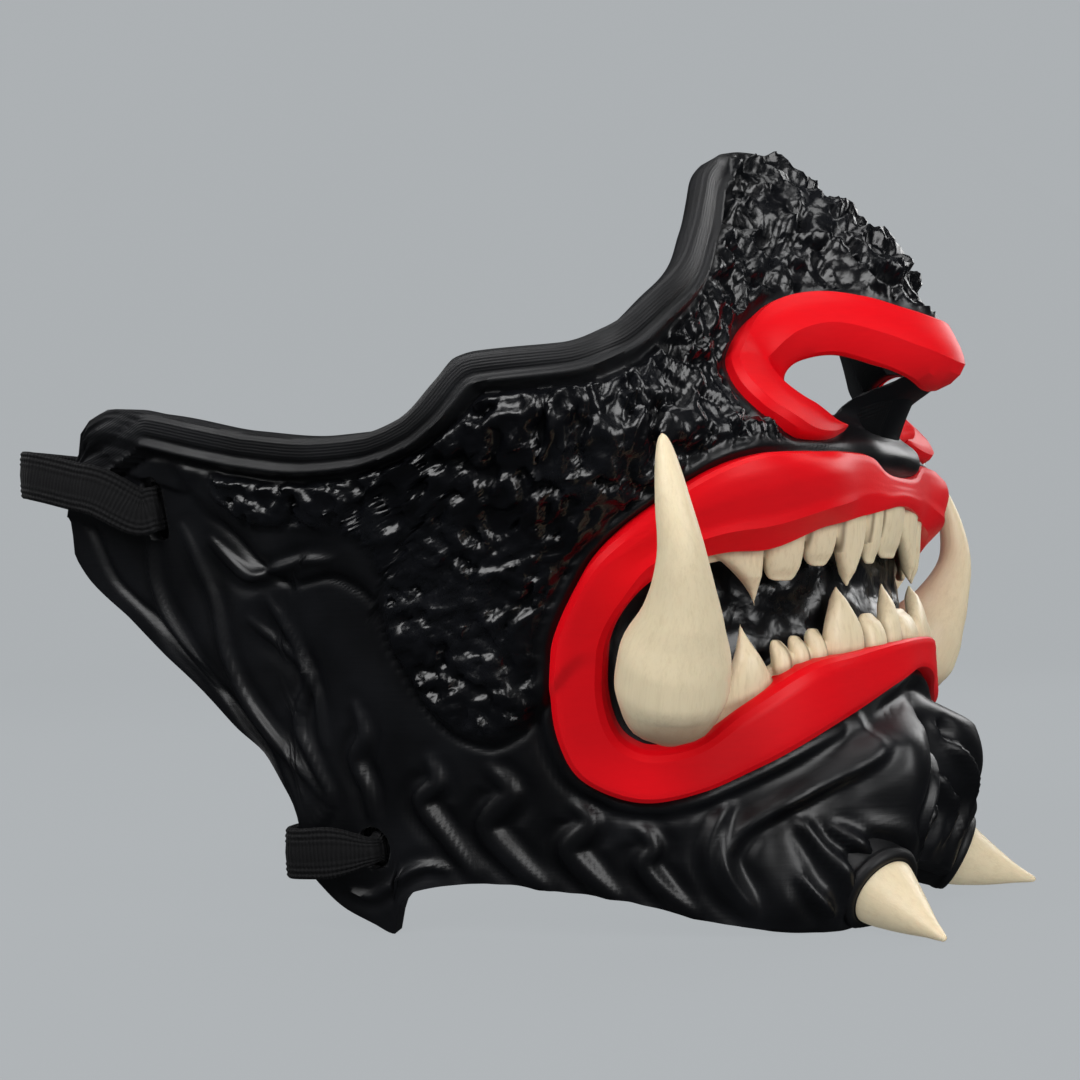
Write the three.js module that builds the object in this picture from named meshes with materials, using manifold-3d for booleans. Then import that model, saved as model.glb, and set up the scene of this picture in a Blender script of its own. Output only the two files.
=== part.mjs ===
import * as THREE from 'three';
import { mergeVertices } from 'three/examples/jsm/utils/BufferGeometryUtils.js';
import Module from 'manifold-3d';

// driving dimensions, mm; X across, -Y the way the face looks, Z up
const maskHeight = 159.6;    // the carving keeps its proportions to this
const maskWidth = 175;       // across the ears, with the face and its trims following
const share = maskHeight / 159.6;     // over the height the curves below are drawn at
const across = maskWidth / share / 175;
const wall = 3 / share;           // shell thickness
const fit = 0.35 / share;         // gap between a set-in piece and its seat
const rimWidth = 7 / share;       // smooth border along the eye edge
const rimLift = 1.3 / share;      // border above the skin
const cheekLift = 1.4 / share;    // cheek field above the jaw
const mouthDepth = 8 / share;     // mouth floor below the skin
const lipLift = 4.2 / share;      // lip crest above the skin
const lipSink = 0.5 / share;      // how far set-in trims sit below the skin
const noseLift = 4.2 / share;     // nostril roll above the skin
const tuskRadius = 10.1 / share;  // fattest part of the tusk
const tuskSeat = [0.54, 47];      // chart place of the post behind the tusk
const postRadius = 4 / share;
const toothPush = 4.7 / share;    // front teeth stand out to the lips' crest
const hornRadius = 7.8 / share;   // chin horn at its root
const strapWidth = 10 / share;    // elastic width
const strapThick = 1.6 / share;
const slotHigh = strapWidth + 3.2 / share;      // ear slot, with room to thread the elastic
const slotWide = 5.2 / share;
const holeHigh = 8.6 / share;     // jaw hole, where the elastic bunches
const holeWide = 7.6 / share;
const backY = 90;            // plane the plan curves close on
const earSlot = [0.977, 86.2];     // chart places of the strap openings
const jawHole = [0.819, 16.9];
const spikeS = 0.805;        // chart column of the jaw spikes
const earS = 0.998;          // chart column of the ear edge

const wasm = await Module();
wasm.setup();

// smooth curve through [x, y] pairs, no overshoot
function curve(pairs) {
  const slopes = pairs.map((p, i) => {
    if (i === 0 || i === pairs.length - 1) return 0;
    const a = (p[1] - pairs[i - 1][1]) / (p[0] - pairs[i - 1][0]);
    const b = (pairs[i + 1][1] - p[1]) / (pairs[i + 1][0] - p[0]);
    return a * b > 0 ? 2 * a * b / (a + b) : 0;
  });
  return (x) => {
    let i = 0;
    while (i < pairs.length - 2 && x > pairs[i + 1][0]) i += 1;
    const [x0, y0] = pairs[i];
    const [x1, y1] = pairs[i + 1];
    const h = x1 - x0;
    const t = Math.min(Math.max((x - x0) / h, 0), 1);
    const u = 1 - t;
    const rise = u * u * (1 + 2 * t) * y0 + t * t * (3 - 2 * t) * y1;
    return rise + h * t * u * (u * slopes[i] - t * slopes[i + 1]);
  };
}
const clamp = (x, a, b) => Math.min(Math.max(x, a), b);
const ramp = (x, a, b) => {
  const t = clamp((x - a) / (b - a), 0, 1);
  return t * t * (3 - 2 * t);
};
const bell = (dx, dy, rx, ry) => Math.exp(-((dx / rx) ** 2) - (dy / ry) ** 2);

// plan size by height
const halfWidth = curve([[-5, 65], [0, 66], [25, 70], [50, 75], [80, 80], [110, 85], [125, 85], [165, 86]]);
const faceY = curve([[-5, -69], [0, -69.5], [12, -71], [30, -72], [50, -72], [75, -70], [86, -71.5], [93, -70],
  [98, -65], [104, -59], [110, -55], [122, -53], [135, -50], [165, -42]]);
const squareness = curve([[-5, 2.8], [55, 2.8], [70, 3.05], [80, 3.4], [88, 3.8], [96, 4.3], [104, 4.7],
  [112, 5], [122, 5], [135, 4.2], [150, 3.2], [165, 3]]);
const frontBulge = curve([[-5, 2], [30, 3], [46, 2.5], [54, 1.8], [70, 0.4], [86, 0.2], [100, 0]]);
const ridgeY = curve([[88, -76], [97, -77.5], [104, -82], [108, -85], [111, -85.5], [119, -83.5],
  [132, -77], [143, -66.5], [152, -56.5], [158, -49], [165, -45]]);
const noseWidth = curve([[88, 26], [97, 32], [104, 36], [112, 37], [125, 31], [140, 25], [165, 16]]);

// edges of the shell in the chart: s runs from the nose (0) round to the ear (1), z is height
const topZ = curve([[0, 159.6], [0.05, 159.2], [0.09, 157.6], [0.113, 156.2], [0.18, 151.4], [0.238, 145.2],
  [0.329, 136], [0.409, 128.6], [0.529, 120.4], [0.643, 112.5], [0.707, 110.1], [0.801, 109.6],
  [0.82, 108.8], [0.838, 105], [0.868, 98.7], [0.891, 96.9], [0.912, 96.8], [0.953, 99.2],
  [0.985, 104.6], [0.9935, 106.6], [0.9962, 104.5], [earS, 97]]);
const lowZ = curve([[0, 9], [0.09, 7], [0.18, 1.6], [0.263, 0.4], [0.368, 1.2], [0.492, 3.9], [0.589, 7.8],
  [0.652, 9.2], [0.719, 10.7], [0.755, 10.1], [0.786, 8.7], [0.799, 5.8], [spikeS, 0.05], [0.822, 1.6],
  [0.841, 4], [0.859, 8.3], [0.8725, 14.3], [0.874, 20.4], [0.883, 28.5], [0.895, 36.6], [0.91, 41.7],
  [0.93, 49], [0.95, 56.3], [0.971, 63.8], [0.987, 70.4], [0.9955, 77.5], [earS, 86]]);
const cheekZ = curve([[0.6, 54], [0.649, 46], [0.677, 40.4], [0.706, 38], [0.732, 39.6], [0.755, 44.5],
  [0.775, 54.2], [0.794, 63.8], [0.824, 69.6], [0.85, 71.5], [0.872, 70.5], [0.899, 74.5],
  [0.94, 82.8], [0.961, 87.2], [0.984, 97.7], [1, 102]]);

function basePoint(s, z) {
  const a = Math.min(Math.abs(s), 1);
  const square = squareness(z);
  const turn = Math.PI / 2 * a ** (1.25 + 0.34 * (square - 2.8));
  const power = 2 / square;
  const x = halfWidth(z) * across * Math.sin(turn) ** power;
  let y = backY - (backY - faceY(z)) * Math.max(Math.cos(turn), 0) ** power;
  const q = Math.min(x / noseWidth(z), 1);
  y -= Math.max(faceY(z) - ridgeY(z), 0) * 0.5 * (1 + Math.cos(Math.PI * q)) * ramp(z, 86, 92);
  y -= frontBulge(z) * Math.exp(-((x / 15) ** 2));
  return new THREE.Vector3(Math.sign(s) * x, y, z);
}
function normalAt(s, z) {
  const du = basePoint(s + 0.012, z).sub(basePoint(s - 0.012, z));
  const dv = basePoint(s, z + 1.2).sub(basePoint(s, z - 1.2));
  return du.cross(dv).normalize();
}

// carved relief above the base, mm
function relief(s, z) {
  const a = Math.abs(s);
  const p = basePoint(a, z);
  let h = 0;
  h += rimLift * (1 - ramp(topZ(a) - z, rimWidth - 2, rimWidth)) * ramp(a, 0.1, 0.2);
  h += cheekLift * ramp(z - cheekZ(a), -1.5, 1.5) * ramp(a, 0.55, 0.66);
  const under = 42 - 20 * a;                                   // line below the lower lip
  h += 10.3 * bell(p.x - 17, z - 29, 11, 17) * (1 - ramp(z, under - 4, under + 3));
  h += 6 * bell(p.x - 26, z - 9, 14, 9);                       // swelling round the horn
  h -= 4.5 * bell(p.x, z - 22, 4.5, 18) * (z < 60 ? 1 : 0);    // groove between the bosses
  h += 1.6 * bell(a - 0.5, z - 18, 0.07, 14);                // jaw fold
  h -= 1.4 * bell(a - 0.43, z - 14, 0.03, 12);
  h -= 2.2 * bell(a - 0.86, z - 50, 0.03, 22);               // hollow under the cheekbone
  h += 1.4 * bell(a - 0.9, z - 60, 0.018, 20);
  h -= 1.5 * bell(a - 0.3, z - 92, 0.12, 2.5);               // crease between nose wing and lip
  return h;
}
function skin(s, z, lift = 0) {
  return basePoint(s, z).addScaledVector(normalAt(s, z), relief(s, z) + lift);
}

function solid(points, faces) {
  const geometry = new THREE.BufferGeometry();
  const flat = points.flatMap((p) => [p.x, p.y, p.z]);
  geometry.setAttribute('position', new THREE.Float32BufferAttribute(flat, 3));
  geometry.setIndex(faces);
  return geometry;
}
// closed body through sections of equal count; a ring when closed, else capped
function loft(sections, closed = false) {
  const n = sections[0].length;
  const m = sections.length;
  const points = sections.flat();
  const faces = [];
  for (let i = 0; i < (closed ? m : m - 1); i += 1) {
    for (let j = 0; j < n; j += 1) {
      const a = i * n + j;
      const b = i * n + (j + 1) % n;
      const c = ((i + 1) % m) * n + j;
      const d = ((i + 1) % m) * n + (j + 1) % n;
      faces.push(a, b, d, a, d, c);
    }
  }
  if (!closed) {
    for (const [row, flip] of [[0, true], [m - 1, false]]) {
      const middle = sections[row].reduce((v, p) => v.add(p), new THREE.Vector3()).divideScalar(n);
      points.push(middle);
      for (let j = 0; j < n; j += 1) {
        const a = row * n + j;
        const b = row * n + (j + 1) % n;
        faces.push(...(flip ? [b, a, points.length - 1] : [a, b, points.length - 1]));
      }
    }
  }
  return solid(points, faces);
}
function outward(geometry) {
  const p = geometry.attributes.position;
  const at = (i) => new THREE.Vector3().fromBufferAttribute(p, i);
  const index = Array.from(geometry.index.array);
  let volume = 0;
  for (let i = 0; i < index.length; i += 3) {
    volume += at(index[i]).dot(at(index[i + 1]).cross(at(index[i + 2])));
  }
  if (volume < 0) {
    for (let i = 0; i < index.length; i += 3) [index[i], index[i + 1]] = [index[i + 1], index[i]];
    geometry.setIndex(index);
  }
  return geometry;
}
function toManifold(geometry) {
  const clean = outward(mergeVertices(geometry, 1e-4));
  return new wasm.Manifold(new wasm.Mesh({
    numProp: 3,
    vertProperties: new Float32Array(clean.attributes.position.array),
    triVerts: new Uint32Array(clean.index.array),
  }));
}
function toGeometry(body) {
  const mesh = body.getMesh();
  const geometry = new THREE.BufferGeometry();
  geometry.setAttribute('position', new THREE.BufferAttribute(new Float32Array(mesh.vertProperties), 3));
  geometry.setIndex(Array.from(mesh.triVerts));
  return geometry;
}
const mirrored = (points) => points.map((p) => new THREE.Vector3(-p.x, p.y, p.z));

// joins two open runs of point indices that share their ends' order
function zip(points, left, right, faces) {
  let i = 0;
  let j = 0;
  while (i < left.length - 1 || j < right.length - 1) {
    const canLeft = i < left.length - 1;
    const canRight = j < right.length - 1;
    const goLeft = canLeft && (!canRight
      || points[left[i + 1]].distanceTo(points[right[j]]) <= points[left[i]].distanceTo(points[right[j + 1]]));
    if (goLeft) {
      faces.push(left[i], left[i + 1], right[j]);
      i += 1;
    } else {
      faces.push(left[i], right[j + 1], right[j]);
      j += 1;
    }
  }
}
function sheet(points, columns, rows, place, faces, flip) {
  const first = points.length;
  for (let i = 0; i <= columns; i += 1) {
    for (let j = 0; j <= rows; j += 1) points.push(place(i / columns, j / rows));
  }
  const id = (i, j) => first + i * (rows + 1) + j;
  for (let i = 0; i < columns; i += 1) {
    for (let j = 0; j < rows; j += 1) {
      const quad = [id(i, j), id(i + 1, j), id(i + 1, j + 1), id(i, j + 1)];
      if (flip) quad.reverse();
      faces.push(quad[0], quad[1], quad[2], quad[0], quad[2], quad[3]);
    }
  }
  const edge = [];
  for (let i = 0; i <= columns; i += 1) edge.push(id(i, 0));
  for (let j = 1; j <= rows; j += 1) edge.push(id(columns, j));
  for (let i = columns - 1; i >= 0; i -= 1) edge.push(id(i, rows));
  for (let j = rows - 1; j >= 0; j -= 1) edge.push(id(0, j));
  return edge;
}
// columns crowd where the plan turns and at the jaw spikes
const spread = curve([[0, 0], [0.36, 0.42], [0.56, 0.74], [0.8, 0.9], [1, earS]]);
const columnS = (u) => {
  const a = spread(Math.abs(2 * u - 1));
  const snapped = Math.abs(a - spikeS) < 0.009 ? spikeS : a;
  return Math.sign(2 * u - 1) * snapped;
};
const chartOf = (u, v) => {
  const s = columnS(u);
  const a = Math.abs(s);
  return [s, lowZ(a) + (topZ(a) - lowZ(a)) * v];
};
// where the inside of the shell clears the mouth hollow and the lip seat
const mouthField = (s, z) => {
  const a = Math.abs(s);
  const middle = curve([[0, 68], [0.4, 61], [0.6, 49]])(a);
  const half = curve([[0, 20], [0.4, 19], [0.58, 21], [0.66, 17]])(a);
  return (1 - ramp(Math.abs(z - middle), half, half + 8)) * (1 - ramp(a, 0.65, 0.74));
};
function shellBody() {
  const points = [];
  const faces = [];
  const outer = sheet(points, 66, 16, (u, v) => skin(...chartOf(u, v)), faces, false);
  const inner = sheet(points, 30, 8, (u, v) => {
    const [s, z] = chartOf(u, v);
    const soft = 0.35 * relief(s, z);
    const p = basePoint(s, z);
    return p.addScaledVector(normalAt(s, z), Math.min(soft, 0.6) - wall - mouthDepth * mouthField(s, z));
  }, faces, true);
  const left = [...outer, outer[0]];
  const right = [...inner, inner[0]];
  zip(points, right, left, faces);
  return toManifold(solid(points, faces));
}

// closed outlines in the chart, near side from the top middle round to the bottom middle
const lipOuter = [[0, 88], [0.06, 88.6], [0.117, 91.2], [0.225, 91], [0.34, 90.5], [0.45, 89.7], [0.53, 86.8],
  [0.583, 81], [0.609, 75.2], [0.622, 68], [0.631, 59], [0.641, 48], [0.639, 38.4], [0.619, 30.9],
  [0.562, 26.8], [0.488, 28.4], [0.399, 32.6], [0.282, 38.3], [0.17, 42.4], [0.08, 46], [0, 48.3]];
const lipInner = [[0, 82], [0.06, 81], [0.11, 79.8], [0.19, 78], [0.27, 76.4], [0.367, 72.7], [0.44, 72.3],
  [0.492, 71], [0.534, 68.3], [0.559, 64], [0.575, 56.8], [0.584, 48], [0.578, 41], [0.56, 37.6],
  [0.532, 36.6], [0.481, 38.2], [0.421, 44], [0.313, 50.8], [0.2, 52.6], [0.1, 53.8], [0, 54.3]];
const ringOf = (half) => [...half, ...half.slice(1, -1).reverse().map(([s, z]) => [-s, z])];

function lipSections(seat) {
  const outer = ringOf(lipOuter);
  const inner = ringOf(lipInner);
  return outer.map(([s, z], i) => {
    const [si, zi] = inner[i];
    const slim = 0.72 + 0.28 * ramp(Math.abs(s), 0.1, 0.3);     // thinner at the middle of the mouth
    const crest = lipLift * slim;
    const mix = (t, lift) => skin(s + (si - s) * t, z + (zi - z) * t, lift);
    if (seat) {
      return [mix(-0.06, -lipSink - fit), mix(-0.06, 9), mix(1.1, 9), mix(1.1, -2.4 - fit), mix(0.8, -2.4 - fit),
        mix(0.78, -lipSink - fit), mix(0.4, -lipSink - fit)];
    }
    return [mix(0, -lipSink), mix(0.02, crest * 0.62), mix(0.18, crest), mix(0.32, crest * 0.84),
      mix(0.68, crest * 0.96), mix(0.97, crest * 0.55), mix(1, -2.4), mix(0.86, -2.4), mix(0.84, -lipSink),
      mix(0.42, -lipSink)];
  });
}
// the mouth hollow; grow moves its edge from the lips' inner edge toward their outer one
function mouthBody(grow, depth) {
  const outer = ringOf(lipOuter);
  const grown = ringOf(lipInner).map(([s, z], i) => {
    const [so, zo] = outer[i];
    return [s + (so - s) * grow, z + (zo - z) * grow];
  });
  const sections = [];
  const steps = 12;
  for (let i = -steps; i <= steps; i += 1) {
    const s = (0.579 + 0.05 * grow) * i / steps;
    const top = edgeZ(grown, s, 1);
    const low = edgeZ(grown, s, -1);
    const row = Array.from({ length: 5 }, (_, j) => low + (top - low) * j / 4);
    const bottom = row.map((z) => skin(s, z, -depth));
    const lid = row.map((z) => skin(s, z, 9)).reverse();
    sections.push([...bottom, ...lid]);
  }
  return toManifold(loft(sections));
}
// height of an outline at a chart column, upper or lower branch
function edgeZ(outline, s, side) {
  const found = [];
  const n = outline.length;
  for (let i = 0; i < n; i += 1) {
    const [s0, z0] = outline[i];
    const [s1, z1] = outline[(i + 1) % n];
    if ((s0 - s) * (s1 - s) <= 0 && s0 !== s1) found.push(z0 + (z1 - z0) * (s - s0) / (s1 - s0));
  }
  return side > 0 ? Math.max(...found) : Math.min(...found);
}

// nostril roll: outer and inner edge pairs from the nose tip round to the septum
const rollOuter = [[0, 118.6], [0.042, 120.4], [0.077, 122.8], [0.119, 123.7], [0.172, 121.8], [0.25, 116.6],
  [0.333, 109.8], [0.376, 103.6], [0.376, 97.7], [0.325, 94.1], [0.22, 93.2], [0.13, 94.6]];
const rollInner = [[0, 105], [0.055, 107], [0.09, 109], [0.13, 111.3], [0.165, 110.5], [0.188, 108.4],
  [0.2, 105.8], [0.2, 103.2], [0.188, 101], [0.165, 100], [0.14, 99.6], [0.118, 99.8]];
function rollBody(side, seat = false) {
  const seatGap = 3 * fit;
  const sections = rollOuter.map(([s, z], i) => {
    const [si, zi] = rollInner[i];
    const mix = (t, lift) => {
      const p = skin(s + (si - s) * t + 1e-4, z + (zi - z) * t, lift);
      if (i === 0) p.x = -0.4;
      p.x = -p.x;
      return p;
    };
    if (seat) {
      const wide = skin(s, z).distanceTo(skin(si, zi));
      const out = -seatGap / wide;
      const low = -lipSink - fit;
      return [mix(out, low), mix(out, 8), mix(1 - out, 8), mix(1 - out, low), mix(0.7, low - fit),
        mix(0.3, low - fit)];
    }
    return [mix(0, -lipSink), mix(0.03, noseLift * 0.5), mix(0.3, noseLift), mix(0.55, noseLift * 0.9),
      mix(0.98, noseLift * 0.3), mix(1, -lipSink), mix(0.7, -lipSink),
      mix(0.3, -lipSink)];
  });
  if (seat) {
    const [a, b] = sections.slice(-2);
    sections.push(b.map((p, k) => p.clone().addScaledVector(b[k].clone().sub(a[k]).normalize(), fit)));
  }
  return toManifold(loft(side < 0 ? sections : sections.map(mirrored)));
}
const nostrilAim = new THREE.Vector3(286, 118, 42);      // the way the nostril runs in
function nostrilCutter(side) {
  const toward = nostrilAim.clone().normalize();
  const inner = rollInner.slice(1).map(([s, z]) => skin(-s, z, 0));
  inner.push(skin(-0.09, 103.4, 0));
  const near = inner.map((p) => p.clone().addScaledVector(toward, -14));
  const far = inner.map((p) => p.clone().addScaledVector(toward, 16));
  const rows = side < 0 ? [near, far] : [mirrored(near), mirrored(far)];
  return toManifold(loft(rows));
}

const upward = new THREE.Vector3(0, 0, 1);
const ahead = new THREE.Vector3(0, -1, 0);
// round body along a bowed line: radii and points given by t
function spike(path, radius, reference, count, rows) {
  const sections = [];
  for (let i = 0; i <= rows; i += 1) {
    const t = i / rows;
    const c = path.getPointAt(t);
    const dir = path.getTangentAt(t);
    const side = reference.clone().cross(dir).normalize();
    const up = dir.clone().cross(side).normalize();
    const r = radius(t);
    sections.push(Array.from({ length: count }, (_, k) => {
      const turn = 2 * Math.PI * k / count;
      return c.clone().addScaledVector(side, r * Math.cos(turn)).addScaledVector(up, r * Math.sin(turn));
    }));
  }
  return sections;
}
const tuskPath = [[-67.5, -51.3, 38.2], [-68.2, -52.2, 45], [-71.2, -54.8, 53], [-75.8, -58.8, 61.5],
  [-80.4, -61.3, 71], [-81.8, -60.7, 80.2], [-80.4, -58.6, 91.6]]
  .map(([x, y, z]) => new THREE.Vector3(x * across, y, z));
function tuskSections() {
  const profile = curve([[0, 3.2], [0.04, 6.2], [0.1, 8.4], [0.2, tuskRadius], [0.29, 9.8], [0.41, 7.6],
    [0.54, 5.4], [0.67, 3.9], [0.8, 2.95], [0.9, 2.1], [0.96, 1.3], [1, 0.35]]);
  return spike(new THREE.CatmullRomCurve3(tuskPath), profile, ahead, 14, 12);
}
function tuskBody(side) {
  const floor = skin(-tuskSeat[0], tuskSeat[1], fit - mouthDepth);
  const out = normalAt(-tuskSeat[0], tuskSeat[1]);
  const stem = new THREE.LineCurve3(floor, floor.clone().addScaledVector(out, 17.5));
  const post = spike(stem, () => postRadius, upward, 8, 1);
  const turn = (rows) => (side < 0 ? rows : rows.map(mirrored));
  return toManifold(loft(turn(tuskSections()))).add(toManifold(loft(turn(post))));
}
function hornSections(extra = 0, tipRadius = 0.7) {
  const profile = curve([[0, hornRadius + extra], [0.2, 7 + extra], [0.4, 5.4 + extra], [0.6, 3.65 + extra],
    [0.8, 1.9 + extra], [1, tipRadius]]);
  const root = new THREE.Vector3(-23.6 * across, -71.4, 8.95);
  const tip = new THREE.Vector3(-34 * across, -89, tipRadius);
  root.addScaledVector(tip.clone().sub(root).normalize(), -extra);
  const path = new THREE.QuadraticBezierCurve3(root, new THREE.Vector3(-27 * across, -79, 4.4), tip);
  return spike(path, profile, upward, 14, 5);
}

// opening through the shell; bulge 1 is an ellipse, smaller values square it up
function strapHole(s, z, width, height, bulge) {
  const n = normalAt(s, z);
  const along = basePoint(s + 0.01, z).sub(basePoint(s - 0.01, z)).normalize();
  const up = n.clone().cross(along).normalize();
  const c = skin(s, z);
  const swell = (x) => Math.sign(x) * Math.abs(x) ** bulge;
  const rim = (lift) => Array.from({ length: 16 }, (_, k) => {
    const turn = 2 * Math.PI * (k + 0.5) / 16;
    return c.clone().addScaledVector(along, width / 2 * swell(Math.cos(turn)))
      .addScaledVector(up, height / 2 * swell(Math.sin(turn))).addScaledVector(n, lift);
  });
  return toManifold(loft([rim(-12), rim(12)]));
}

// row of pointed teeth as one bar; entries run outward: chart column, width, length, lean
function toothRow(list, side) {
  const outline = ringOf(lipInner);
  const edge = (s) => edgeZ(outline, s, side) - side * (fit + 0.3);
  const span = (s) => basePoint(s + 0.01, 60).distanceTo(basePoint(s - 0.01, 60)) / 0.02;
  const stations = [[0, gumHeight, 0]];
  list.forEach(([s, width, length, lean], i) => {
    const half = width / 2 / span(s);
    const next = list[i + 1];
    const end = next ? (s + half + next[0] - next[1] / 2 / span(next[0])) / 2 : s + half;
    stations.push([s - half * 0.5 + lean * 0.6, length * 0.6, 0.8], [s + lean, length, 1]);
    stations.push([s + half * 0.5 + lean * 0.6, length * 0.6, 0.8], [end, next ? gumHeight : 1.5, 0]);
  });
  const all = [...stations.slice(1).reverse().map(([s, h, k]) => [-s, h, k]), ...stations];
  const sections = all.map(([s, height, bulge]) => {
    const z = edge(s);
    const push = toothPush * (1 - ramp(Math.abs(s), 0.06, 0.3));
    const p = (t, lift) => skin(s, z - side * height * t, lift + push);
    return [p(0, -1.5 + 0.3 * bulge), p(0.45, -1.7 + 0.9 * bulge), p(1, -2.8), p(1, -3.3),
      p(0, -5.2 - push / 3)];
  });
  return loft(sections);
}
const gumHeight = 2.6;
const upperList = [[0.03, 6, 14, 0], [0.074, 4.4, 6.5, 0], [0.11, 4.4, 6.5, 0], [0.156, 6.6, 12, -0.005],
  [0.228, 8, 7.5, 0], [0.295, 5.4, 6.2, 0], [0.345, 5.6, 6.8, 0], [0.407, 8.4, 11, -0.045]];
const lowerList = [[0.025, 4.6, 12, 0], [0.06, 3.6, 6, 0], [0.097, 4.6, 12.4, 0], [0.145, 4.6, 6.5, 0],
  [0.205, 6.2, 12.6, 0], [0.258, 5, 6, 0], [0.305, 4.6, 5.8, 0], [0.35, 4.6, 5.8, 0], [0.41, 8.6, 13.4, -0.012]];

// flat elastic following a path of [point, width, thickness]
function band(path) {
  const sections = path.map(([p, width, thick], i) => {
    const next = path[Math.min(i + 1, path.length - 1)][0];
    const last = path[Math.max(i - 1, 0)][0];
    const dir = next.clone().sub(last).normalize();
    const w = new THREE.Vector3(0, 0, 1);
    w.addScaledVector(dir, -w.dot(dir)).normalize();
    const n = dir.clone().cross(w).normalize();
    return [[-1, -1], [1, -1], [1, 1], [-1, 1]].map(([a, b]) => p.clone().addScaledVector(w, a * width / 2)
      .addScaledVector(n, b * thick / 2));
  });
  return loft(sections);
}
// right half of a strap, from its sewn end inside, out through the opening and back behind the head
function strapHalf(s, z, narrow, thick, turns) {
  const c = skin(-s, z);
  const out = normalAt(-s, z);
  const back = basePoint(-s - 0.01, z).sub(basePoint(-s + 0.01, z)).normalize();
  const at = (lift, along) => c.clone().addScaledVector(out, lift).addScaledVector(back, along);
  const inside = [[at(-wall - 2.6, -9), strapWidth, strapThick], [at(-wall - 2.4, -3.5), strapWidth, strapThick],
    [at(-wall - 1, -1.3), narrow, thick], [at(-1, -0.5), narrow, thick], [at(0.8, -0.2), narrow, thick],
    [at(2.1, 3), (narrow + strapWidth) / 2, (thick + strapThick) / 2]];
  return [...inside, ...turns.map(([x, y, h]) => [new THREE.Vector3(-x * across, y, h), strapWidth, strapThick])];
}
function strap(half) {
  const other = half.slice().reverse().map(([p, w, t]) => [mirrored([p])[0], w, t]);
  return band([...half, ...other]);
}
const upperTurns = [[86.8, 66, 90], [87.2, 73, 91.8], [87.4, 80, 93.6], [87.2, 85.4, 94.8], [84.4, 90, 95.4],
  [78, 92.2, 95.8], [60, 92.8, 95.8], [20, 93, 95.8]];
const lowerTurns = [[70.4, 22, 16.6], [70.8, 28, 16.2], [69.8, 32.4, 16], [66.2, 34.8, 16], [58, 35.6, 16],
  [20, 35.8, 16]];

function piece(name, geometry, colour, roughness) {
  geometry.deleteAttribute('normal');
  geometry.deleteAttribute('uv');
  const material = new THREE.MeshStandardMaterial({ color: colour, roughness });
  const mesh = new THREE.Mesh(outward(mergeVertices(geometry, 1e-5)), material);
  mesh.name = name;
  return mesh;
}

function build() {
  const group = new THREE.Group();
  let shell = shellBody().subtract(mouthBody(0.12, mouthDepth)).subtract(toManifold(loft(lipSections(true), true)));
  for (const side of [-1, 1]) {
    shell = shell.subtract(rollBody(side, true));
    shell = shell.subtract(nostrilCutter(side));
    shell = shell.subtract(strapHole(side * jawHole[0], jawHole[1], holeWide, holeHigh, 1));
    shell = shell.subtract(strapHole(side * earSlot[0], earSlot[1], slotWide, slotHigh, 0.35));
    const near = hornSections(fit, 2);
    shell = shell.subtract(toManifold(loft(side < 0 ? near : near.map(mirrored))));
  }
  group.add(piece('mask_shell', toGeometry(shell), 0x101114, 0.4));
  group.add(piece('lips', loft(lipSections(false), true), 0xc9060b, 0.4));
  group.add(piece('nose_ring', toGeometry(rollBody(-1).add(rollBody(1))), 0xc9060b, 0.4));
  group.add(piece('upper_teeth', toothRow(upperList, 1), 0xd9ccb0, 0.5));
  group.add(piece('lower_teeth', toothRow(lowerList, -1), 0xd9ccb0, 0.5));
  const upper = strapHalf(...earSlot, slotHigh - 4 / share, 1.4 / share, upperTurns);
  const lower = strapHalf(...jawHole, holeHigh - 3.2 / share, 3.2 / share, lowerTurns);
  group.add(piece('upper_strap', strap(upper), 0x0b0b0c, 0.9));
  group.add(piece('lower_strap', strap(lower), 0x0b0b0c, 0.9));
  for (const [side, word] of [[-1, 'right'], [1, 'left']]) {
    const horn = hornSections();
    group.add(piece(`tusk_${word}`, toGeometry(tuskBody(side)), 0xd9ccb0, 0.5));
    group.add(piece(`chin_horn_${word}`, loft(side < 0 ? horn : horn.map(mirrored)), 0xd9ccb0, 0.5));
  }
  const box = new THREE.Box3().setFromObject(group);
  const shift = [0, -(box.min.y + box.max.y) / 2, -box.min.z];     // origin at the middle of the footprint
  for (const mesh of group.children) mesh.geometry.translate(...shift).scale(share, share, share);
  return group;
}

export default build();
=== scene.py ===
import math
import bmesh
import bpy
import numpy as np
from mathutils import Matrix, Vector, noise


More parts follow.
